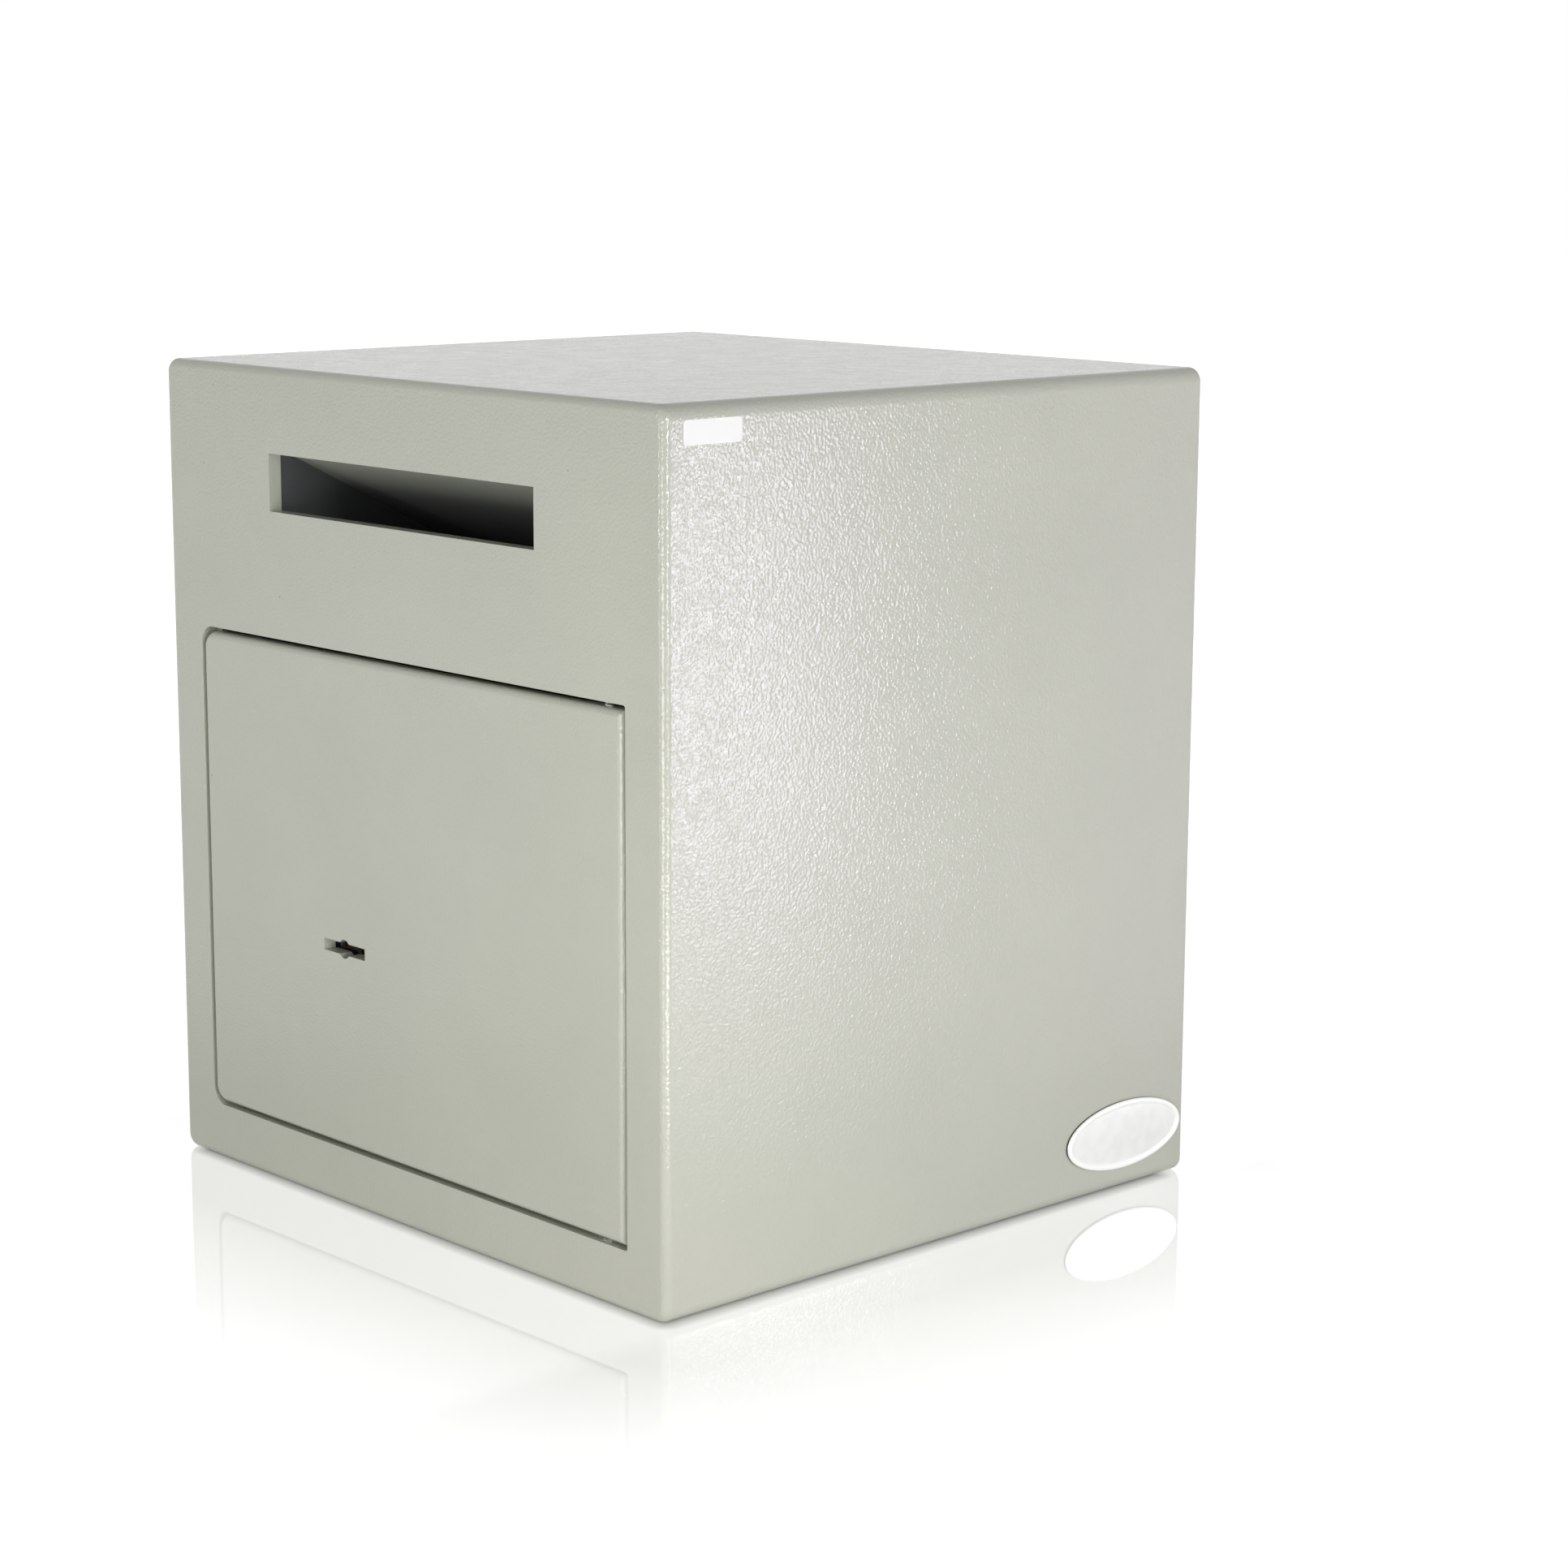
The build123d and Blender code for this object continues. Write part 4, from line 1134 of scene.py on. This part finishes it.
@dataclass
class Hinge:
    """Hinge pins and the washer that carries the door.

    Attributes:
        pin_radius: Radius of both pins.
        blunt: Chamfer of a pin's ends.
        head_radius: Radius of the upper pin's head.
        head_height: Height of the upper pin's head.
        bore: Radius of the washer's hole.
        ease: Chamfer of the washer's rim.
    """

    pin_radius: float = 3 * MM
    blunt: float = 0.6 * MM
    head_radius: float = 4 * MM
    head_height: float = 2 * MM
    bore: float = 3.08 * MM
    ease: float = 0.2 * MM

    def build(self) -> None:
        """Make the two pins and the washer."""
        radius, head, blunt = self.pin_radius, self.head_radius, self.blunt
        for level in ("upper", "lower"):
            low, high, middle = box_of(f"{level}_hinge_pin")
            length = high.z - low.z
            neck = length - self.head_height
            crown = [
                (neck, radius), (neck, head * 0.97), (neck + 0.2 * MM, head),
                (length - 0.7 * MM, head), (length - 0.2 * MM, head * 0.88), (length, head * 0.7)]
            plain = [(length - blunt, radius), (length, radius - blunt)]
            profile = [(0, 0), (0, radius - blunt), (blunt, radius),
                       *(crown if level == "upper" else plain), (length, 0)]
            foot = Vector((middle.x, middle.y, low.z))
            piece = turned(f"{level}_pin_turned", profile, [foot], Direction.UP)
            settle(piece, DOOR, BRIGHT_PIN, [f"{level}_hinge_pin"])
        low, high, middle = box_of("hinge_washer")
        rim, height, ease = (high.x - low.x) / 2, high.z - low.z, self.ease
        profile = [(0, self.bore), (0, rim - ease), (ease, rim), (height - ease, rim),
                   (height, rim - ease), (height, self.bore)]
        foot = Vector((middle.x, middle.y, low.z))
        piece = turned("thrust_washer", profile, [foot], Direction.UP, closed=True)
        settle(piece, SAFE_BODY, BRIGHT_PIN, ["hinge_washer"])


@dataclass
class DoorLeaf:
    """Door plate with what is welded to it and its inner cover.

    Attributes:
        edge: Width of the worn edges of the plate.
        sheet_edge: Width of the rounding on the cover's edges.
        post_radius: Radius of the cover's posts.
        post_ease: Chamfer of their ends.
        post_bore: Radius of their tapped holes.
        bore_depth: Depth of their tapped holes.
    """

    edge: float = 0.16 * MM
    sheet_edge: float = 0.3 * MM
    post_radius: float = 4.5 * MM
    post_ease: float = 0.4 * MM
    post_bore: float = 2.02 * MM
    bore_depth: float = 9 * MM

    def build(self) -> None:
        """Make the plate, the welded blocks and guides, the posts and the cover."""
        soften("door_panel", "door_plate", DOOR, PAINT, self.edge)
        for node in ("upper_hinge_block", "lower_hinge_block", "lower_bolt_guide",
                     "upper_bolt_guide"):
            soften(node, f"{node}_painted", DOOR, PAINT, self.edge)
        soften("door_inner_cover", "inner_cover_tray", DOOR, PAINT, self.sheet_edge)
        soften("hard_plate", "hard_plate_quenched", DOOR, QUENCHED, self.sheet_edge)
        self.posts()

    def posts(self) -> None:
        """Make the four tapped posts of the cover."""
        low, high, _ = box_of("cover_posts")
        radius, length = self.post_radius, high.y - low.y
        ease, bottom = self.post_ease, length - self.bore_depth
        profile = [
            (0, 0), (0, radius), (length - ease, radius), (length, radius - ease),
            (length, self.post_bore), (bottom, self.post_bore), (bottom, 0)]
        feet = corners(low, high, low.y, radius)
        piece = turned("cover_posts_turned", profile, feet, Direction.INWARD, 32)
        settle(piece, DOOR, PAINT, ["cover_posts"])


def corners(low: Vector, high: Vector, depth: float, inset: float) -> list[Vector]:
    """Four points at a depth, inset from the corners of a box."""
    return [Vector((x, depth, z)) for x in (low.x + inset, high.x - inset)
            for z in (low.z + inset, high.z - inset)]


@dataclass(frozen=True)
class Screw:
    """Socket-headed screw.

    Attributes:
        thread: Radius of the shank.
        reach: Length of the shank.
        head: Radius of the head.
        height: Height of the head.
        socket: Half of the socket's width across flats.
        depth: Depth of the socket.
        dome: How far the head's top is domed.
        pitch: Pitch of the thread.
        ease: Chamfer of head and tip.
    """

    thread: float
    reach: float
    head: float
    height: float
    socket: float
    depth: float
    dome: float
    pitch: float = 0.8 * MM
    ease: float = 0.25 * MM

    def profile(self) -> list[tuple]:
        """Profile from the shank's tip to the socket's floor.

        Returns:
            Its rings, as turned takes them.
        """
        ease, bottom = self.ease, self.height - self.depth
        profile = [(-self.reach, 0), (-self.reach, self.thread * 0.75)]
        for turn in range(max(int((self.reach - 2 * ease) / self.pitch), 1)):
            start = -self.reach + ease + turn * self.pitch
            profile += [(start, self.thread), (start + self.pitch * 0.5, self.thread * 0.9)]
        shoulder = self.height - max(self.dome, ease)
        return profile + [
            (-ease, self.thread), (0, self.thread), (0, self.head - ease * 0.6),
            (ease * 0.6, self.head), (shoulder, self.head),
            (shoulder + 0.5 * self.dome + 0.05 * MM, self.head * 0.93),
            (self.height - 0.1 * self.dome, self.head * 0.75), (self.height, self.socket * 1.25),
            (self.height, self.socket, Ring.HEXAGON), (bottom, self.socket, Ring.HEXAGON),
            (bottom, 0)]


@dataclass
class Fasteners:
    """Screws of the lock, the cover, the bolt bar and its link."""

    lock: Screw = Screw(2 * MM, 27.5 * MM, 3.5 * MM, 2.6 * MM, 1.25 * MM, 1.3 * MM, 0.9 * MM)
    cover: Screw = Screw(2 * MM, 10 * MM, 4 * MM, 2.8 * MM, 1.386 * MM, 1.68 * MM, 0.9 * MM)
    bar: Screw = Screw(3 * MM, 16.5 * MM, 5 * MM, 6 * MM, 2.425 * MM, 3 * MM, 0.3 * MM)
    link: Screw = Screw(2.5 * MM, 10 * MM, 4.25 * MM, 5 * MM, 2.06 * MM, 2.5 * MM, 0.3 * MM)

    def build(self) -> None:
        """Make the four sets of screws."""
        sets = []
        for node, screw in (("lock_screws", self.lock), ("cover_screws", self.cover)):
            low, high, _ = box_of(node)
            feet = corners(low, high, high.y - screw.height, screw.head)
            sets.append((node, f"{node}_socket", screw, feet, Direction.INWARD, DOOR))
        low, high, middle = box_of("bolt_bar_screws")
        feet = [Vector((high.x - self.bar.height, middle.y, z))
                for z in (low.z + self.bar.head, high.z - self.bar.head)]
        sets.append(("bolt_bar_screws", "bar_screws_socket", self.bar, feet, Direction.RIGHT,
                     BOLTWORK))
        low, _, middle = box_of("link_screw")
        feet = [Vector((low.x + self.link.height, middle.y, middle.z))]
        sets.append(("link_screw", "link_screw_socket", self.link, feet, Direction.LEFT, BOLTWORK))
        for node, name, screw, feet, direction, body in sets:
            settle(turned(name, screw.profile(), feet, direction), body, SCREW_ZINC, [node])


@dataclass
class KeyLock:
    """Lock case, cover and the round pieces inside.

    Attributes:
        edge: Width of the rounding on the case's edges.
        blunts: Chamfer of each stud's front end, as a share of its diameter.
    """

    edge: float = 0.3 * MM
    blunts = {"lever_post": 0.1, "key_pin": 0.25, "bolt_guide_stud": 0.1}

    def build(self) -> None:
        """Make case, cover, post, pin and stud, and dress the springs."""
        for node in ("lock_case", "lock_cover"):
            soften(node, f"{node}_plated", DOOR, ZINC, self.edge)
        for node, blunt in self.blunts.items():
            low, high, middle = box_of(node)
            radius, length = (high.x - low.x) / 2, high.y - low.y
            cut = 2 * radius * blunt
            profile = [(0, 0), (0, radius - cut), (cut, radius), (length, radius), (length, 0)]
            foot = Vector((middle.x, low.y, middle.z))
            piece = turned(f"{node}_turned", profile, [foot], Direction.INWARD, 32)
            settle(piece, DOOR, BRIGHT_POST, [node])
        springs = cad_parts["lever_springs"].data.materials
        springs.clear()
        springs.append(ZINC.material())


@dataclass
class Boltwork:
    """Lock bolt, bar and the two round locking bolts.

    Attributes:
        edge: Width of the rounding on milled edges.
        bore: Radius of the tapped hole in a locking bolt.
        bore_depth: Depth of that hole.
        tip: Chamfer of a locking bolt's tip.
        ease: Rounding of its other edges.
    """

    edge: float = 0.3 * MM
    bore: float = 3.02 * MM
    bore_depth: float = 12 * MM
    tip: float = 1.5 * MM
    ease: float = 0.25 * MM

    def build(self) -> None:
        """Make the pieces that slide together."""
        soften("bolt_bar", "bolt_bar_plated", BOLTWORK, ZINC, self.edge)
        for node in ("lock_bolt", "bolt_stump"):
            soften(node, f"{node}_milled", BOLTWORK, BRIGHT_POST, self.edge)
        for node in ("lower_locking_bolt", "upper_locking_bolt"):
            low, high, middle = box_of(node)
            radius, length, ease = (high.z - low.z) / 2, high.x - low.x, self.ease
            profile = [
                (self.bore_depth, 0), (self.bore_depth, self.bore), (0, self.bore),
                (0, radius - ease), (ease, radius), (length - self.tip - ease, radius),
                (length - self.tip, radius - ease * 0.4), (length - ease * 0.4, radius - self.tip),
                (length, radius - self.tip - ease), (length, 0)]
            foot = Vector((high.x, middle.y, middle.z))
            piece = turned(f"{node}_turned", profile, [foot], Direction.LEFT, 64)
            settle(piece, BOLTWORK, BRIGHT_BOLT, [node])


@dataclass
class LeverPack:
    """Punched levers.

    Attributes:
        count: Number of levers.
        edge: Width of the rounding that punching leaves.
    """

    count: int = 6
    edge: float = 0.12 * MM

    def build(self) -> None:
        """Make the levers."""
        for index in range(1, self.count + 1):
            soften(f"lever_{index}", f"lever_{index}_punched", LEVERS, BRASS, self.edge)


@dataclass
class BadgePlate:
    """Bare oval badge: a raised rounded rim round a slightly domed face.

    Attributes:
        rim: Width of the rim.
        face: Height of the face at the rim.
        dome: Height that the face gains towards its middle.
        sides: Points round the oval.
        shares: Places of the face's rings, as shares of its width.
    """

    rim: float = 2.8 * MM
    face: float = 1.05 * MM
    dome: float = 0.45 * MM
    sides: int = 128
    shares: tuple[float, ...] = (0.94, 0.85, 0.7, 0.5, 0.25)

    def build(self) -> None:
        """Make the badge."""
        low, high, middle = box_of("badge_plate")
        length, height = (high.y - low.y) / 2, (high.z - low.z) / 2
        top, rim = high.x - low.x, self.rim
        steps = [(0, 0), (0, top * 0.5), (rim * 0.06, top * 0.75), (rim * 0.2, top * 0.92),
                 (rim * 0.42, top), (rim * 0.62, top * 0.98), (rim * 0.82, top * 0.86),
                 (rim * 0.96, self.face), (rim * 1.05, self.face * 0.99)]
        rings = [(length - inset, height - inset, rise) for inset, rise in steps]
        inner_length, inner_height, _ = rings[-1]
        for share in self.shares:
            rise = self.face + self.dome * (1 - share ** 2)
            rings.append((inner_length * share, inner_height * share, rise))
        angles = [2 * math.pi * step / self.sides for step in range(self.sides)]
        shape = bmesh.new()
        made = [[shape.verts.new((low.x + rise, middle.y + half_length * math.cos(angle),
                                  middle.z + half_height * math.sin(angle))) for angle in angles]
                for half_length, half_height, rise in rings]
        tip = shape.verts.new((low.x + self.face + self.dome, middle.y, middle.z))
        turns = [(step, (step + 1) % self.sides) for step in range(self.sides)]
        for outer, inner in zip(made, made[1:]):
            for step, after in turns:
                shape.faces.new((outer[step], outer[after], inner[after], inner[step]))
        for step, after in turns:
            shape.faces.new((made[-1][step], made[-1][after], tip))
        shape.faces.new(reversed(made[0]))
        bmesh.ops.recalc_face_normals(shape, faces=shape.faces)
        badge = mesh_object("oval_badge", shape)
        shade(badge, 60.0)
        settle(badge, SAFE_BODY, BADGE, ["badge_plate"])


@dataclass
class SerialLabel:
    """Small bare sticker.

    Attributes:
        edge: Width of the rounding on the film's edge.
    """

    edge: float = 0.06 * MM

    def build(self) -> None:
        """Make the sticker."""
        soften("serial_label", "bare_label", SAFE_BODY, LABEL, self.edge)


@dataclass
class FeltMat:
    """Needled felt mat with holes over the anchor holes and loose fibres on it.

    Attributes:
        step: Distance between the mat's points.
        hole: Radius of the holes.
        patch: Half of the square round a hole whose points follow the hole.
        spread: Distance of the holes from the middle.
        wave: Height of the mat's slow waves.
        wave_length: Length of one wave.
        density: Loose fibres on a square metre.
        fibre: Length of one fibre.
        thickness: Radius of one fibre.
        seed: Seed of the fibres.
    """

    step: float = 4 * MM
    hole: float = 8 * MM
    patch: float = 12 * MM
    spread: float = 100 * MM
    wave: float = 0.35 * MM
    wave_length: float = 45 * MM
    density: float = 15000.0
    fibre: float = 5 * MM
    thickness: float = 0.06 * MM
    seed: int = 11

    def build(self) -> None:
        """Make the mat and its fibres."""
        low, high, _ = box_of("floor_mat")
        self.low, self.high = low, high
        columns = self.lines([low.x, -self.spread - self.patch, -self.spread + self.patch,
                              self.spread - self.patch, self.spread + self.patch, high.x])
        rows = self.lines([low.y, -self.patch, self.patch, high.y])
        shape = bmesh.new()
        points = {(x, y): shape.verts.new((x, y, 0)) for x in columns for y in rows}
        for left, right in zip(columns, columns[1:]):
            for front, back in zip(rows, rows[1:]):
                if not self.in_patch((left + right) / 2, (front + back) / 2):
                    shape.faces.new([points[place] for place in (
                        (left, front), (right, front), (right, back), (left, back))])
        for side in (-1, 1):
            self.edge_hole(shape, side * self.spread)
        bare = [vert for vert in shape.verts if not vert.link_faces]
        bmesh.ops.delete(shape, geom=bare, context="VERTS")
        loose = self.fibres(shape)
        self.thicken(shape)
        mat = mesh_object("felt_mat", shape)
        shade(mat)
        settle(mat, SAFE_BODY, FELT, ["floor_mat"])
        settle(loose, SAFE_BODY, FIBRE)

    def lines(self, stops: Sequence[float]) -> list[float]:
        """Divide the way between stops into about equal steps.

        Args:
            stops: Places that get a line.

        Returns:
            Places of all lines.
        """
        made = [stops[0]]
        for start, end in zip(stops, stops[1:]):
            count = round((end - start) / self.step)
            made += [start + (end - start) * (step + 1) / count for step in range(count)]
        return made

    def in_patch(self, x: float, y: float) -> bool:
        """True inside the square round a hole."""
        return abs(y) < self.patch and abs(abs(x) - self.spread) < self.patch

    def edge_hole(self, shape: Shape, centre: float) -> None:
        """Join the square round a hole to the hole.

        Args:
            shape: The mat.
            centre: The hole's place from side to side.
        """
        rim = {}
        for vert in shape.verts:
            x, y = vert.co.x - centre, vert.co.y
            if abs(max(abs(x), abs(y)) - self.patch) < TOUCH_WITHIN:
                rim[math.atan2(y, x)] = vert
        angles = sorted(rim)
        circle = [shape.verts.new((
            centre + self.hole * math.cos(angle), self.hole * math.sin(angle), 0))
            for angle in angles]
        for step, angle in enumerate(angles):
            after = (step + 1) % len(angles)
            shape.faces.new((circle[step], rim[angle], rim[angles[after]], circle[after]))

    def top(self, x: float, y: float) -> float:
        """Height of the mat's upper side."""
        slow = noise.noise(Vector((x, y, 0.3)) / self.wave_length)
        return self.high.z - self.wave * (0.6 - 0.6 * slow)

    def thicken(self, shape: Shape) -> None:
        """Give the flat shape its upper side, lower side and edges.

        Args:
            shape: The mat.
        """
        faces = list(shape.faces)
        rims = [edge for edge in shape.edges if len(edge.link_faces) == 1]
        below = {vert: shape.verts.new((vert.co.x, vert.co.y, self.low.z))
                 for vert in list(shape.verts)}
        for edge in rims:
            first, second = edge.verts
            shape.faces.new((first, second, below[second], below[first]))
        for face in faces:
            shape.faces.new([below[vert] for vert in reversed(face.verts)])
        for vert in below:
            vert.co.z = self.top(vert.co.x, vert.co.y)
        bmesh.ops.recalc_face_normals(shape, faces=shape.faces)

    def fibres(self, shape: Shape) -> Piece:
        """Scatter loose fibres over the mat.

        Args:
            shape: The flat mat.

        Returns:
            The fibres as one piece.
        """
        flat = shape.copy()
        for vert in flat.verts:
            vert.co.z = self.top(vert.co.x, vert.co.y) - self.thickness
        tree = Growth("mat_fibres", {
            "Density": ("NodeSocketFloat", self.density), "Length": ("NodeSocketFloat", self.fibre),
            "Thickness": ("NodeSocketFloat", self.thickness), "Seed": ("NodeSocketInt", self.seed)})
        source = tree.source
        points = tree.out("GeometryNodeDistributePointsOnFaces", {
            "Mesh": source["Geometry"], "Density": source["Density"], "Seed": source["Seed"]})
        bow = tree.out("GeometryNodeCurveQuadraticBezier", {
            "Resolution": 4, "Start": (-0.5, 0, 0), "Middle": (0, 0.3, 0.12),
            "End": (0.5, 0, 0.02)})
        length = tree.out("ShaderNodeCombineXYZ", {axis: source["Length"] for axis in range(3)})
        long = tree.out("GeometryNodeTransform", {"Geometry": bow, "Scale": length})
        section = tree.out("GeometryNodeCurvePrimitiveCircle", {
            "Resolution": 3, "Radius": source["Thickness"]})
        hair = tree.out("GeometryNodeCurveToMesh", {
            "Curve": long, "Profile Curve": section, "Fill Caps": True})
        turn = tree.out("FunctionNodeRandomValue", {
            0: (0, 0, 0), 1: (0, 0, 2 * math.pi), "Seed": source["Seed"]}, data_type="FLOAT_VECTOR")
        tree.close(tree.out("GeometryNodeInstanceOnPoints", {
            "Points": points, "Instance": hair, "Rotation": turn}), FIBRE)
        return tree.grow(mesh_object("mat_fibre_ground", flat), "mat_loose_fibres")


def main() -> None:
    """Build the safe piece by piece and the studio round it."""
    Studio().build()
    for assembly in (BodyShell(), DepositChute(), WeldBeads(), Hinge(), DoorLeaf(), Fasteners(),
                     KeyLock(), Boltwork(), LeverPack(), BadgePlate(), SerialLabel(), FeltMat()):
        log.info("building %s", type(assembly).__name__)
        assembly.build()


if __name__ == "__main__":
    main()
